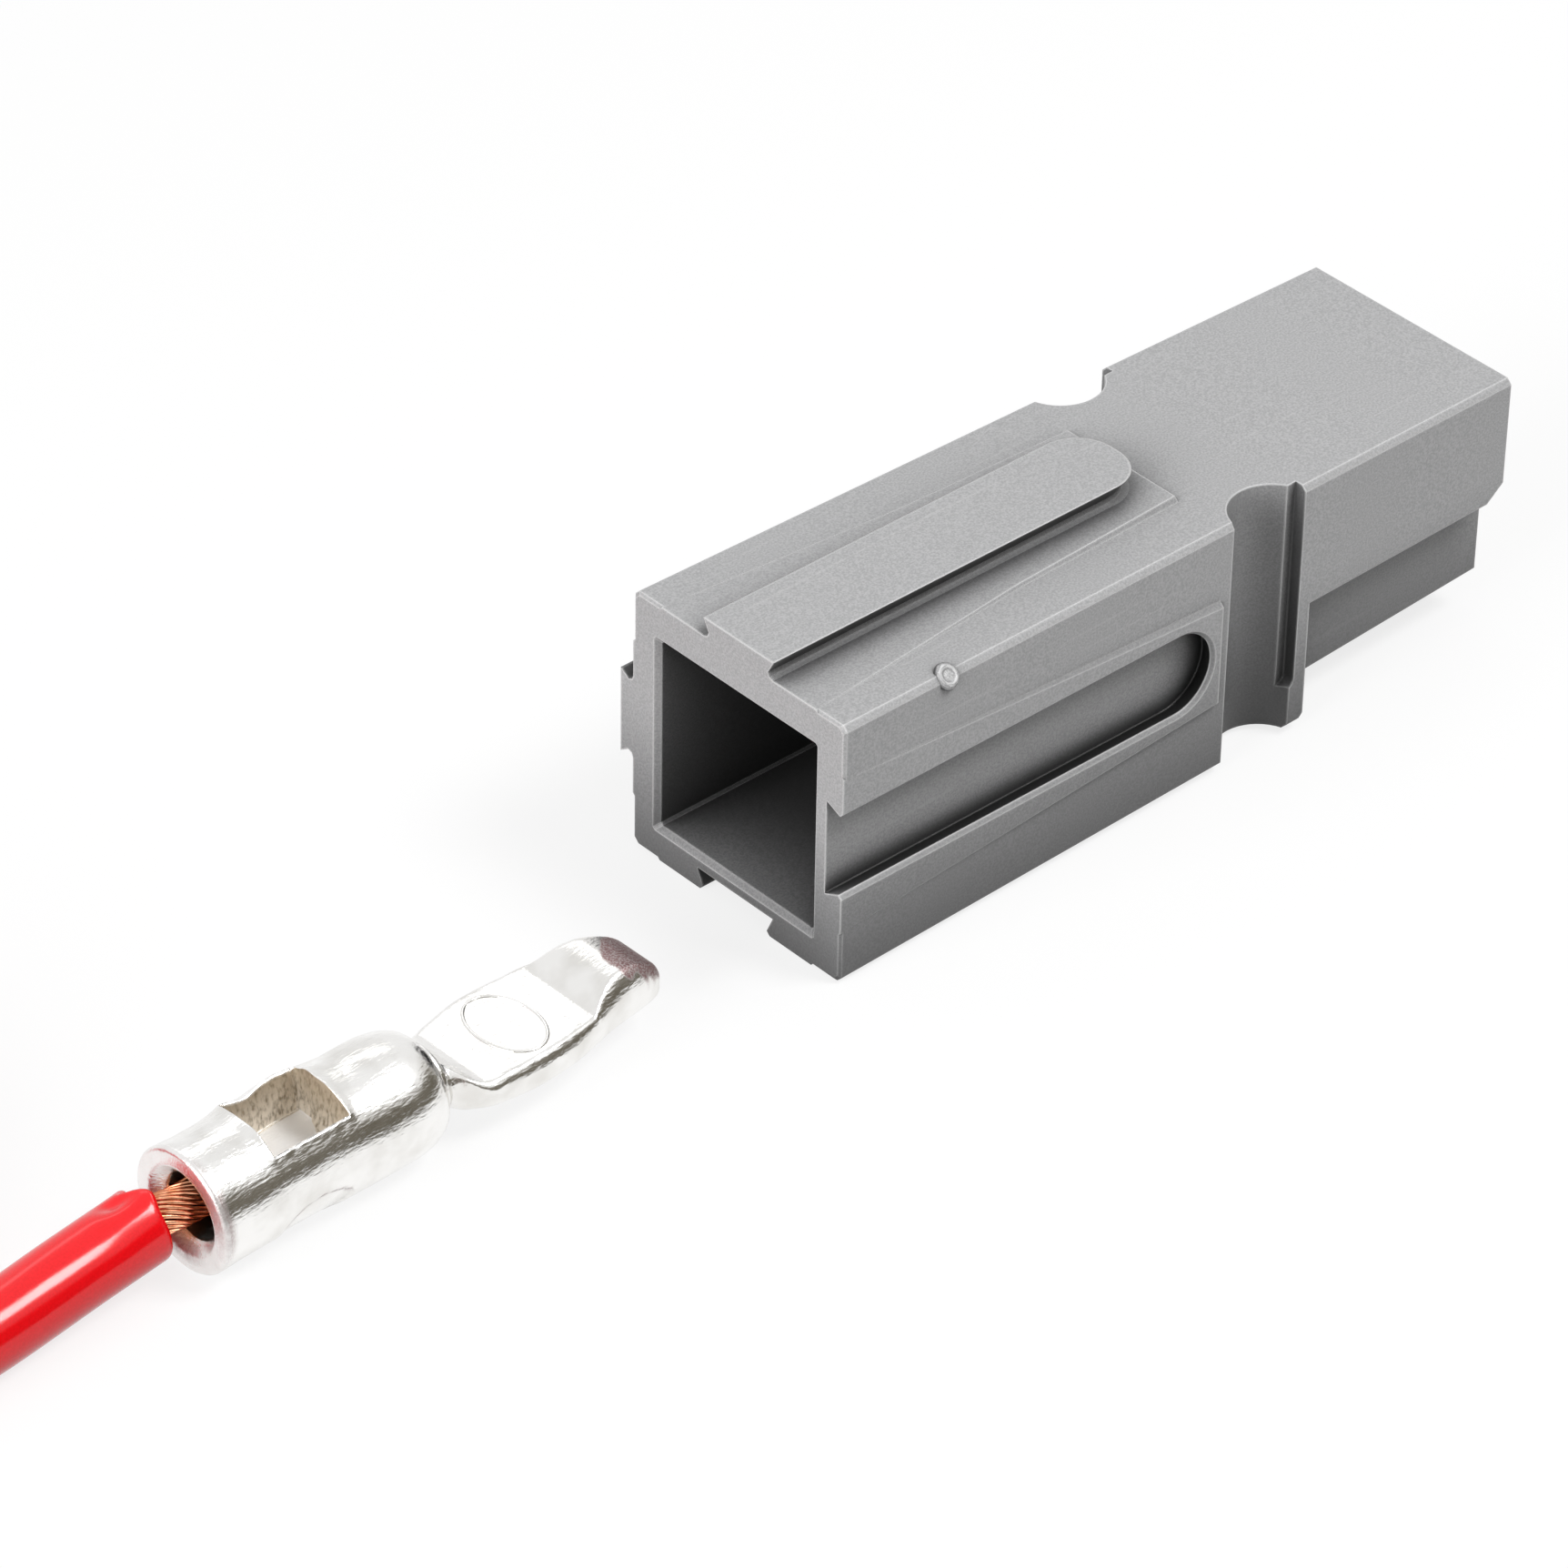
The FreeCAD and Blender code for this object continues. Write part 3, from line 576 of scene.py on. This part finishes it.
def skin(s, step, side):
    """A corner of the outer skin, seen along the contact: how far across, and how high. None
    lies lower than the round barrel's foot, so that nothing sinks into what it lies on."""
    half, top, bottom, top_round, foot_round = outline_at(s)
    coin = 0.95 * eased(s, neck_end, neck_end + 1.2) * eased(s, tip, 28.4)
    across, up = round_bar(half, top, bottom, top_round, foot_round, share_at(step), coin)
    if s < shoulder_end:
        fade = eased(s, 0.1, 1.2) * eased(s, shoulder_end, shoulder_start)
        uneven = 0.02 * noise.noise(Vector((s * 0.5, side * across * 0.9, up * 0.9)))
        grown = 1 + fade * (swell(s, side * angle_of(across, up)) + uneven) / half
        across *= grown
        up = max(up * grown, -barrel_radius)
    elif side > 0:
        across *= 1 + far_spread(s) / half
    else:
        across *= 1 + near_spread(s) * eased(up, -0.9, 0.1) / half
    return side * across, up


def pressed(s, step, side, depth):
    """A corner inside the pit's rim, pushed down by the punch by a share of the full depth."""
    across, up = skin(s, step, side)
    floor = pit_floor + 0.05 * noise.noise(Vector((s * 0.8, across * 0.8, 9.0)))
    floor += 0.10 * (s - pit_middle) / 2 + 0.08 * across / pit_half
    if step <= floor_steps:
        low_across, low_up = side * pit_half * step / floor_steps, floor
    else:
        height = (step - floor_steps) / wall_steps
        rim_across, rim_up = skin(s, rim_steps, side)
        torn = 0.07 * noise.noise(Vector((s * 5.0, height * 1.3, side * 4.0)))
        torn *= 1 - height
        low_across = side * pit_half + (rim_across - side * pit_half) * height ** 1.5 + torn
        low_up = floor + (rim_up - floor) * height
    return across + (low_across - across) * depth, up + (low_up - up) * depth


def skew(s, across, up):
    """The punch came down a little askew: the pit's far side lies further forward."""
    return 0.5 * eased(angle_of(across, up), 0, 60) * eased(s, 2.0, 4.0) * eased(s, 11.5, 9.0)


def torn_end(s, across, up, depth, front):
    """The pit's end walls: streaked, and the front one with a curl of metal at its foot."""
    streak = 0.10 * noise.noise(Vector((across * 4.2, up * 0.8, 20.0 if front else 30.0)))
    curl = 0.0
    if front:
        curl = -0.24 * hill(up, 0.75, 0.28) * eased(across, 1.3, 0.0)
    return s + (streak + curl) * depth ** 0.3 * eased(up, pit_floor, pit_floor + 0.5)


def steps_between(first, last, pitch):
    """Places from first up to last, not further apart than the pitch."""
    count = max(1, math.ceil((last - first) / pitch))
    return [first + (last - first) * i / count for i in range(count + 1)]


# Stations of the outer skin: each is a place along the contact, and the share of the pit's depth
# that the punch has reached there. They are close together where the form changes fast.
wall_depths = [0.0, 0.015, 0.05, 0.12, 0.22, 0.34, 0.46, 0.58, 0.70, 0.82, 0.92, 0.98, 1.0]
bullet_steps = 16
stations = [(s, 0.0) for s in steps_between(0.30, pit_rear - 0.5, 0.16)]
stations += [(s, 0.0) for s in steps_between(pit_rear - 0.42, pit_rear - 0.05, 0.08)]
stations += [(pit_rear + pit_lean * depth, depth) for depth in wall_depths]
stations += [(s, 1.0) for s in steps_between(
    pit_rear + pit_lean + 0.08, pit_front - pit_lean - 0.08, 0.11)]
stations += [(pit_front - pit_lean * depth, depth) for depth in reversed(wall_depths)]
stations += [(s, 0.0) for s in steps_between(pit_front + 0.05, pit_front + 0.42, 0.08)]
stations += [(s, 0.0) for s in steps_between(pit_front + 0.5, shoulder_start, 0.18)]
for step in range(1, bullet_steps + 1):
    forward = math.sin(math.pi / 2 * step / bullet_steps)
    stations.append((
        shoulder_start + (shoulder_end - 0.002 - shoulder_start) * forward, 0.0))
stations += [(s, 0.0) for s in steps_between(shoulder_end + 0.06, collar_end - 0.06, 0.06)]
stations += [(s, 0.0) for s in steps_between(collar_end + 0.03, neck_end + 0.3, 0.07)]
stations += [(s, 0.0) for s in steps_between(neck_end + 0.42, ramp_start - 0.1, 0.14)]
stations += [(s, 0.0) for s in steps_between(ramp_start, hook_front, 0.075)]
stations += [(s, 0.0) for s in steps_between(hook_front + 0.05, tip, 0.045)]


def whole_ring(corner):
    """A full ring from a function of step and side: down the far side and up the near one."""
    far = [corner(step, 1) for step in range(half_steps + 1)]
    near = [corner(step, -1) for step in range(half_steps - 1, 0, -1)]
    return far + near


def plain_ring(s, outline):
    """A ring of the bore or the rim, from its outline's five sizes."""
    def corner(step, side):
        across, up = round_bar(*outline, share_at(step))
        return s, side * across, max(up, -barrel_radius)
    return whole_ring(corner)


def circle(radius):
    """The five sizes of a round outline."""
    return radius, radius, -radius, radius, radius


bore_radius = 1.8
bore_end = 10.6
drill_point = 11.3
pressed_bore = (1.66, -0.54, -bore_radius, 0.12, 1.05)


def bore_at(s):
    """The bore's outline: round, but pressed to a flat half under the pit."""
    flat = eased(s, 3.0, 3.5) * eased(s, 9.6, 9.1)
    return tuple(a + (b - a) * flat for a, b in zip(circle(bore_radius), pressed_bore))


# The rings run up the bore from its end, over the countersunk rim, and forward along the skin.
countersink = [
    (0.66, 1.81), (0.58, 1.87), (0.34, 2.10), (0.12, 2.33), (0.05, 2.42), (0.01, 2.52),
    (0.0, 2.62), (0.0, 2.95)]
rim_round = 0.26
rim_round_steps = 8
rings = [plain_ring(drill_point, circle(0.1)), plain_ring(bore_end, circle(bore_radius - 0.02))]
rings += [plain_ring(s, bore_at(s)) for s in reversed(steps_between(0.75, bore_end - 0.1, 0.14))]
rings += [plain_ring(s, circle(radius)) for s, radius in countersink]
for step in range(rim_round_steps + 1):
    turn = math.pi / 2 * step / rim_round_steps
    rings.append(plain_ring(
        rim_round * (1 - math.cos(turn)),
        circle(barrel_round(0.0) - rim_round * (1 - math.sin(turn)))))
inner_rings = len(rings)

for s, depth in stations:
    def corner(step, side, s=s, depth=depth):
        if depth == 0 or step >= rim_steps:
            across, up = skin(s, step, side)
            return s + skew(s, across, up), across, up
        across, up = pressed(s, step, side, depth)
        along = s if depth == 1 else torn_end(s, across, up, depth, s > pit_middle)
        return along + skew(s, across, up), across, up
    rings.append(whole_ring(corner))


# Where the rim is worn most: the middle of that stretch and its width, in degrees from the top
rim_worn = (-62, 42)


def rim_finish(s, across, up):
    """How far the rim is rubbed through its plate by handling, and how satin it is."""
    angle = angle_of(across, up)
    reach = math.hypot(across, up)
    near_top = hill(angle, *rim_worn) * eased(reach, 2.5, 2.9)
    foot = hill(abs(angle), 172, 20) * eased(reach, 2.95, 2.7)
    patchy = 0.75 + 0.5 * noise.noise(Vector((across * 3, up * 3, 5.0)))
    on_rim = eased(reach, 1.75, 2.1) * eased(s, 1.0, 0.5)
    return on_rim * min(0.08 + (0.6 * near_top + 0.6 * foot) * patchy, 1.0), 0.22 * on_rim


def skin_wear(s, across, up):
    """How far the outer skin is rubbed through: over the hook, in the collar's groove, at the
    die mark's edge and by the rim."""
    wobble = 0.22 * noise.noise(Vector((s * 2.2, across * 2.2, 12.0)))
    worn_from = 26.5 + 0.11 * max(across + 1.1, 0.0) ** 3
    front_of_hook = eased(s + wobble, worn_from, worn_from + 0.22) * eased(s, 29.9, 29.6)
    on_top = eased(up + wobble, -0.4, 0.2) * eased(across + wobble, -2.0, -1.75)
    at_groove = hill(s, shoulder_end, 0.12)
    angle = angle_of(across, up)
    broken = 0.5 + 1.6 * noise.noise(Vector((s * 1.7, angle * 0.12, 8.0)))
    at_mark = hill(from_die_mark(s, angle), 0.95, 0.08) * eased(angle, -122, -108) * broken
    from_rim = hill(angle, *rim_worn) * eased(s, 0.75, 0.3)
    return max(front_of_hook * on_top, 0.7 * at_groove, 0.75 * at_mark, 0.7 * from_rim)


bm = bmesh.new()
sheared = bm.verts.layers.float.new("sheared")
rubbed = bm.verts.layers.float.new("rubbed")
coined = bm.verts.layers.float.new("coined")
grid = []
for index, ring in enumerate(rings):
    corners = [bm.verts.new(on_contact(*place)) for place in ring]
    grid.append(corners)
    if index < inner_rings:
        for vert, place in zip(corners, ring):
            vert[rubbed], vert[coined] = rim_finish(*place)
        continue
    depth = stations[index - inner_rings][1]
    for number, (vert, place) in enumerate(zip(corners, ring)):
        step = min(number, 2 * half_steps - number)
        on_side_wall = depth > 0 and floor_steps <= step < rim_steps
        on_end_wall = 0 < depth < 1 and step < rim_steps
        if on_side_wall or on_end_wall:
            vert[sheared] = 1.0
        if depth == 1 and step < floor_steps - 1:
            vert[coined] = 1.0
        vert[rubbed] = skin_wear(*place)
join_rings(bm, grid)

# Silver plate over copper: bright, and a little drawn lengthwise by handling, so that it shows
# the room's dark side as a band with a ragged edge. Where it is rubbed through, the copper
# beneath gives it a mauve tint. The pit's torn walls are dull, and its coined floor is satin.
silver, tree = new_material("silver_plate_on_copper")
where = add(tree, "ShaderNodeTexCoord").outputs["Object"]
above_floor = add(tree, "ShaderNodeSeparateXYZ", Vector=where).outputs["Z"]
torn = add(tree, "ShaderNodeAttribute", {"attribute_name": "sheared"}).outputs["Fac"]
worn = add(tree, "ShaderNodeAttribute", {"attribute_name": "rubbed"}).outputs["Fac"]
satin = add(tree, "ShaderNodeAttribute", {"attribute_name": "coined"}).outputs["Fac"]

# Handling clouds the plate in patches of a few millimetres.
cloud_width = 2.2
cloud = add(tree, "ShaderNodeTexNoise", Vector=where, Scale=1 / (cloud_width * MM), Detail=3.0)
tarnish = add(tree, "ShaderNodeMapRange", smooth, Value=cloud, From_Min=0.35, From_Max=0.75)
clean = add(
    tree, "ShaderNodeMix", in_colour, Factor=tarnish, A=colour("F8F7F5"), B=colour("E6E4E0"))

# It is rubbed through in specks of about a tenth of a millimetre.
speck_width = 0.10
speckle = add(tree, "ShaderNodeTexNoise", Vector=where, Scale=1 / (speck_width * MM), Detail=3.0)
speck = add(
    tree, "ShaderNodeMapRange", smooth, Value=speckle, From_Min=0.35, From_Max=0.6, To_Min=0.55,
    To_Max=1.0)
through_plate = add(tree, "ShaderNodeMath", times, Value=[worn, speck])
plated = add(
    tree, "ShaderNodeMix", in_colour, Factor=through_plate, A=clean, B=colour("8E6C6C"))

# The punch tore the pit's walls in upright streaks, paler toward their foot.
tear_width = 0.20
tear_height = 0.42
upright = add(
    tree, "ShaderNodeMapping", Vector=where,
    Scale=(1 / (tear_width * MM), 1 / (tear_width * MM), 1 / (tear_height * MM)))
tear = add(tree, "ShaderNodeTexNoise", Vector=upright, Scale=1.0, Detail=4.0)
lower_wall = add(
    tree, "ShaderNodeMapRange", smooth, Value=above_floor, From_Min=3.6 * MM, From_Max=6.2 * MM,
    To_Min=1.0, To_Max=0.0)
wall_tone = add(
    tree, "ShaderNodeMix", in_colour, Factor=lower_wall, A=colour("B9AA94"), B=colour("EFE6D8"))
in_tear = add(tree, "ShaderNodeMapRange", smooth, Value=tear, From_Min=0.40, From_Max=0.78)
wall_colour = add(
    tree, "ShaderNodeMix", in_colour, Factor=in_tear, A=wall_tone, B=colour("8A7C66"))
plate_or_wall = add(tree, "ShaderNodeMix", in_colour, Factor=torn, A=plated, B=wall_colour)
plate_tone = add(
    tree, "ShaderNodeMix", in_colour, Factor=satin, A=plate_or_wall, B=colour("FFFFFF"))

# Polishing marks are a few hundredths of a millimetre wide. They are drawn coarser, so that
# they show.
ripple_length = 0.50
ripple_width = 0.16
drawn = add(
    tree, "ShaderNodeMapping", Vector=where,
    Scale=(1 / (ripple_length * MM), 1 / (ripple_width * MM), 1 / (ripple_width * MM)))
ripple = add(tree, "ShaderNodeTexNoise", Vector=drawn, Scale=1.0, Detail=3.0)
ripple_bump = add(tree, "ShaderNodeBump", Height=ripple, Strength=0.9, Distance=0.028 * MM)
tear_strength = add(tree, "ShaderNodeMath", times, Value=[torn, 0.8])
tear_bump = add(
    tree, "ShaderNodeBump", Height=tear, Strength=tear_strength, Distance=0.05 * MM,
    Normal=ripple_bump)

worn_roughness = add(tree, "ShaderNodeMapRange", smooth, Value=worn, To_Min=0.18, To_Max=0.45)
torn_roughness = add(tree, "ShaderNodeMix", Factor=torn, A=worn_roughness, B=0.55)
plate_roughness = add(tree, "ShaderNodeMix", Factor=satin, A=torn_roughness, B=0.5)
plate_left = add(
    tree, "ShaderNodeMapRange", smooth, Value=through_plate, To_Min=1.0, To_Max=0.5)
torn_metal = add(tree, "ShaderNodeMapRange", smooth, Value=torn, To_Min=1.0, To_Max=0.35)
satin_metal = add(tree, "ShaderNodeMapRange", smooth, Value=satin, To_Min=1.0, To_Max=0.15)
torn_plate = add(tree, "ShaderNodeMath", times, Value=[torn_metal, plate_left])
metallic = add(tree, "ShaderNodeMath", times, Value=[torn_plate, satin_metal])
plate = add(
    tree, "ShaderNodeBsdfPrincipled", Base_Color=plate_tone, Metallic=metallic,
    Roughness=plate_roughness, Normal=tear_bump)
add(tree, "ShaderNodeOutputMaterial", Surface=plate)

contact = new_piece("silver_contact", bm, silver)
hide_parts("contact")


# Oval ring: a plain oval outline that is stamped into the contact's blade before plating. It
# stands up as a fine bead of the same metal, sunk for most of its thickness.

oval_middle = (20.55, 0.1)
oval_along = 1.7
oval_across = 2.5
oval_steps = 96
bead_radius = 0.11
bead_sunk = 0.035
bead_steps = 10
bm = bmesh.new()
oval = []
for step in range(oval_steps):
    turn = math.tau * step / oval_steps
    outward = Vector((math.cos(turn) * oval_across, math.sin(turn) * oval_along, 0)).normalized()
    centre = Vector((
        oval_middle[0] + oval_along * math.cos(turn), oval_middle[1] + oval_across * math.sin(turn),
        blade_top - bead_sunk))
    ring = []
    for bead_step in range(bead_steps):
        lean = math.tau * bead_step / bead_steps
        place = centre + bead_radius * (
            outward * math.cos(lean) + Vector((0, 0, 1)) * math.sin(lean))
        ring.append(bm.verts.new(on_contact(*place)))
    oval.append(ring)
join_rings(bm, oval + [oval[0]], closed_start=False, closed_end=False)
bmesh.ops.recalc_face_normals(bm, faces=bm.faces)
oval_ring = new_piece("stamped_oval", bm, silver)


# Lead: stranded copper in extruded red vinyl, stripped by a knife that left its end nicked. It
# leaves the view lying flat, and the rest of its length is put away as two turns, one on the
# other, with its bare end tucked inside them.

lead_diameter = 4.0
# Points listed as in the part's source, and then the coil's turns
route = [(-39.5, -2.62, 2.98), (-44.7, -2.66, 2.28), (-50.2, -3.28, 2.0), (-55.2, -3.28, 2.0)]
coil_middle = (-68.2, 16.72)
coil_radius = 20.35
coil_pitch = 4.2
steps_per_turn = 16
coil_steps = 33
climb_from = 13
climb_steps = 3
# How far the last points of the coil lie inward, and how far down
tail = {30: (3.2, 0.3), 31: (4.6, 0.9), 32: (5.2, 1.9)}
for step in range(coil_steps):
    angle = math.radians(-90 - 360 / steps_per_turn * step)
    climbed = min(max((step - climb_from) / climb_steps, 0), 1)
    inward, sunk = tail.get(step, (0.0, 0.0))
    route.append((
        coil_middle[0] + (coil_radius - inward) * math.cos(angle),
        coil_middle[1] + (coil_radius - inward) * math.sin(angle),
        lead_diameter / 2 + coil_pitch * climbed - sunk))

line_curve = bpy.data.curves.new("lead_line", "CURVE")
line_curve.dimensions = "3D"
line = line_curve.splines.new("NURBS")
line.points.add(len(route) - 1)
for point, place in zip(line.points, route):
    point.co = (*at(*place), 1.0)
line.order_u = 3
line.use_endpoint_u = True
line.resolution_u = 16
line_object = bpy.data.objects.new("lead_line", line_curve)
line_mesh = bpy.data.meshes.new_from_object(line_object)
path = [vert.co.copy() for vert in line_mesh.vertices]
bpy.data.objects.remove(line_object)
bpy.data.curves.remove(line_curve)
bpy.data.meshes.remove(line_mesh)

travelled = [0.0]
for one, other in zip(path, path[1:]):
    travelled.append(travelled[-1] + (other - one).length)
lead_length = travelled[-1] / MM


def on_line(distance):
    """The place and the direction on the lead's line, at so many metres from its cut end."""
    index = 0
    while index < len(path) - 2 and travelled[index + 1] < distance:
        index += 1
    step = path[index + 1] - path[index]
    share = (distance - travelled[index]) / (travelled[index + 1] - travelled[index])
    return path[index] + step * share, step.normalized()


hole_radius = 1.06
skin_radius = lead_diameter / 2
skin_steps = 48
# The tube's rings, each a distance from the cut and a radius: out through the hole that the
# strands leave by, over the soft edge of the cut, and back along the skin
profile = [
    (2.2, hole_radius), (0.5, hole_radius), (0.12, hole_radius + 0.02), (0.02, hole_radius + 0.12),
    (0.0, hole_radius + 0.3), (0.02, skin_radius - 0.32), (0.07, skin_radius - 0.17),
    (0.17, skin_radius - 0.07), (0.32, skin_radius - 0.01)]
profile += [(distance, skin_radius) for distance in steps_between(0.5, 5.0, 0.18)]
profile += [(distance, skin_radius) for distance in steps_between(5.5, lead_length - 0.3, 0.9)]
profile += [(lead_length - 0.1, skin_radius - 0.08), (lead_length, skin_radius - 0.35)]


def nicked(turn, distance):
    """How far the stripping knife pulled the skin back and pinched it in, near the cut."""
    fade = eased(distance, 2.4, 0.0)
    notch = 0.62 * hill(turn, 0.52, 0.26)
    tongue = 0.36 * hill(turn, -0.12, 0.40)
    dent = 0.36 * hill(turn, 0.30, 0.34) * hill(distance, 1.45, 0.85)
    bulge = 0.13 * hill(turn, -0.15, 0.6) * eased(distance, 3.6, 0.6)
    return (notch - tongue) * fade, dent - bulge


bm = bmesh.new()
tube = []
for distance, radius in profile:
    ring = []
    for step in range(skin_steps):
        turn = math.tau * step / skin_steps - math.pi
        back, pinch = nicked(turn, distance)
        outer = eased(radius, hole_radius, skin_radius)
        place, ahead = on_line((distance + back) * MM)
        upward = (Vector((0, 0, 1)) - ahead * ahead.z).normalized()
        toward_near = ahead.cross(upward)
        uneven = 0.015 * noise.noise(Vector((distance * 0.35, math.cos(turn), math.sin(turn))))
        reach = radius + (uneven - pinch) * outer
        spoke = upward * math.cos(turn) + toward_near * math.sin(turn)
        ring.append(bm.verts.new(place + spoke * reach * MM))
    tube.append(ring)
join_rings(bm, tube)
bmesh.ops.recalc_face_normals(bm, faces=bm.faces)

# Vinyl: glossy and deep red, with the faint orange peel that extrusion leaves.
vinyl, tree = new_material("extruded_vinyl_gloss")
where = add(tree, "ShaderNodeTexCoord").outputs["Object"]
peel_width = 0.12
peel = add(tree, "ShaderNodeTexNoise", Vector=where, Scale=1 / (peel_width * MM), Detail=2.0)
peel_bump = add(tree, "ShaderNodeBump", Height=peel, Strength=0.10, Distance=0.02 * MM)
peel_share = add(tree, "ShaderNodeMapRange", smooth, Value=peel, From_Min=0.3, From_Max=0.7)
red = add(
    tree, "ShaderNodeMix", in_colour, Factor=peel_share, A=colour("EC000E"), B=colour("F60414"))
vinyl_skin = add(
    tree, "ShaderNodeBsdfPrincipled", Base_Color=red, Roughness=0.16, IOR=1.53, Normal=peel_bump)
add(tree, "ShaderNodeOutputMaterial", Surface=vinyl_skin)
lead = new_piece("red_lead", bm, vinyl)
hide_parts("lead", "lead_coil")


# Strands: sixty bare copper wires, a quarter of a millimetre thick, laid up in rings with a
# twist. They run from inside the vinyl into the bore, where the crimp squeezes them flat. Three
# of them strayed, and end at the bore's mouth.

strand_radius = 0.125
strand_rings = [(0.0, 1), (0.25, 6), (0.49, 12), (0.72, 18), (0.93, 23)]
stray_strands = (6, 7, 9)
wire_steps = 8
twist = 0.52
strand_start = -1.9
strand_end = 9.7
strip_gap = 1.27
bundle_off_axis = 0.5
bundle_below_axis = 0.1
squeezed_middle = -1.14
squeezed_wider = 1.32
squeezed_flatter = 0.40
draw = random.Random(7)
cut_end, cut_ahead = on_line(0.0)


def strand_place(s, reach, turn):
    """A strand's middle at s, where reach and turn give its place in the bundle."""
    across = reach * math.sin(turn)
    up = reach * math.cos(turn)
    squeezed = eased(s, 2.7, 3.5)
    flat_across = across * squeezed_wider - bundle_off_axis
    flat_up = squeezed_middle + up * squeezed_flatter + bundle_below_axis
    across += (flat_across - across) * squeezed
    up += (flat_up - up) * squeezed
    straight = on_contact(s, bundle_off_axis + across, up - bundle_below_axis)
    middle = on_contact(s, bundle_off_axis, -bundle_below_axis)
    lead_middle = cut_end - cut_ahead * ((s + strip_gap) * MM)
    return straight + (lead_middle - middle) * eased(s, 0.3, -1.4)


bm = bmesh.new()
for reach, count in strand_rings:
    for number in range(count):
        first_turn = math.tau * (number + draw.uniform(-0.12, 0.12)) / count
        wander = draw.uniform(-0.03, 0.03)
        wave = draw.uniform(0, math.tau)
        last = strand_end
        if reach == strand_rings[-1][0] and number in stray_strands:
            last = 0.35 + 0.2 * (number % 3)
        rings = []
        for s in steps_between(strand_start, last, 0.24):
            turn = first_turn - twist * (s + 1.3)
            spread = reach * (1 + 0.05 * eased(s, -1.2, 0.4)) + wander * math.sin(2 * s + wave)
            here = strand_place(s, spread, turn)
            ahead = (strand_place(s + 0.05, spread, turn - twist * 0.05) - here).normalized()
            spoke = (Vector((0, 0, 1)) - ahead * ahead.z).normalized()
            other = ahead.cross(spoke)
            rings.append([
                bm.verts.new(here + strand_radius * MM * (
                    spoke * math.cos(math.tau * i / wire_steps)
                    + other * math.sin(math.tau * i / wire_steps)))
                for i in range(wire_steps)])
        join_rings(bm, rings)
bmesh.ops.recalc_face_normals(bm, faces=bm.faces)

# Bare copper: bright and orange where it was just stripped, with painted shade in the gaps
# between wires.
copper, tree = new_material("bare_drawn_copper")
where = add(tree, "ShaderNodeTexCoord").outputs["Object"]
patch_width = 0.5
patches = add(tree, "ShaderNodeTexNoise", Vector=where, Scale=1 / (patch_width * MM), Detail=3.0)
in_patch = add(tree, "ShaderNodeMapRange", smooth, Value=patches, From_Min=0.35, From_Max=0.65)
bright = add(
    tree, "ShaderNodeMix", in_colour, Factor=in_patch, A=colour("FFBE98"), B=colour("E29066"))
# Painted shade: dark brown is mixed in where the wires crowd within 0.3 mm.
wire_openness = add(
    tree, "ShaderNodeAmbientOcclusion", {"samples": 8}, Distance=0.3 * MM).outputs["AO"]
clear_of_gap_shade = add(
    tree, "ShaderNodeMapRange", smooth, Value=wire_openness, From_Min=0.35, From_Max=0.8)
copper_with_painted_gap_shade = add(
    tree, "ShaderNodeMix", in_colour, Factor=clear_of_gap_shade, A=colour("5A201A"), B=bright)
wire = add(
    tree, "ShaderNodeBsdfPrincipled", Metallic=1.0, Roughness=0.18, Base_Color=copper_with_painted_gap_shade)
add(tree, "ShaderNodeOutputMaterial", Surface=wire)
strands = new_piece("bare_strands", bm, copper)
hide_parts("conductor")
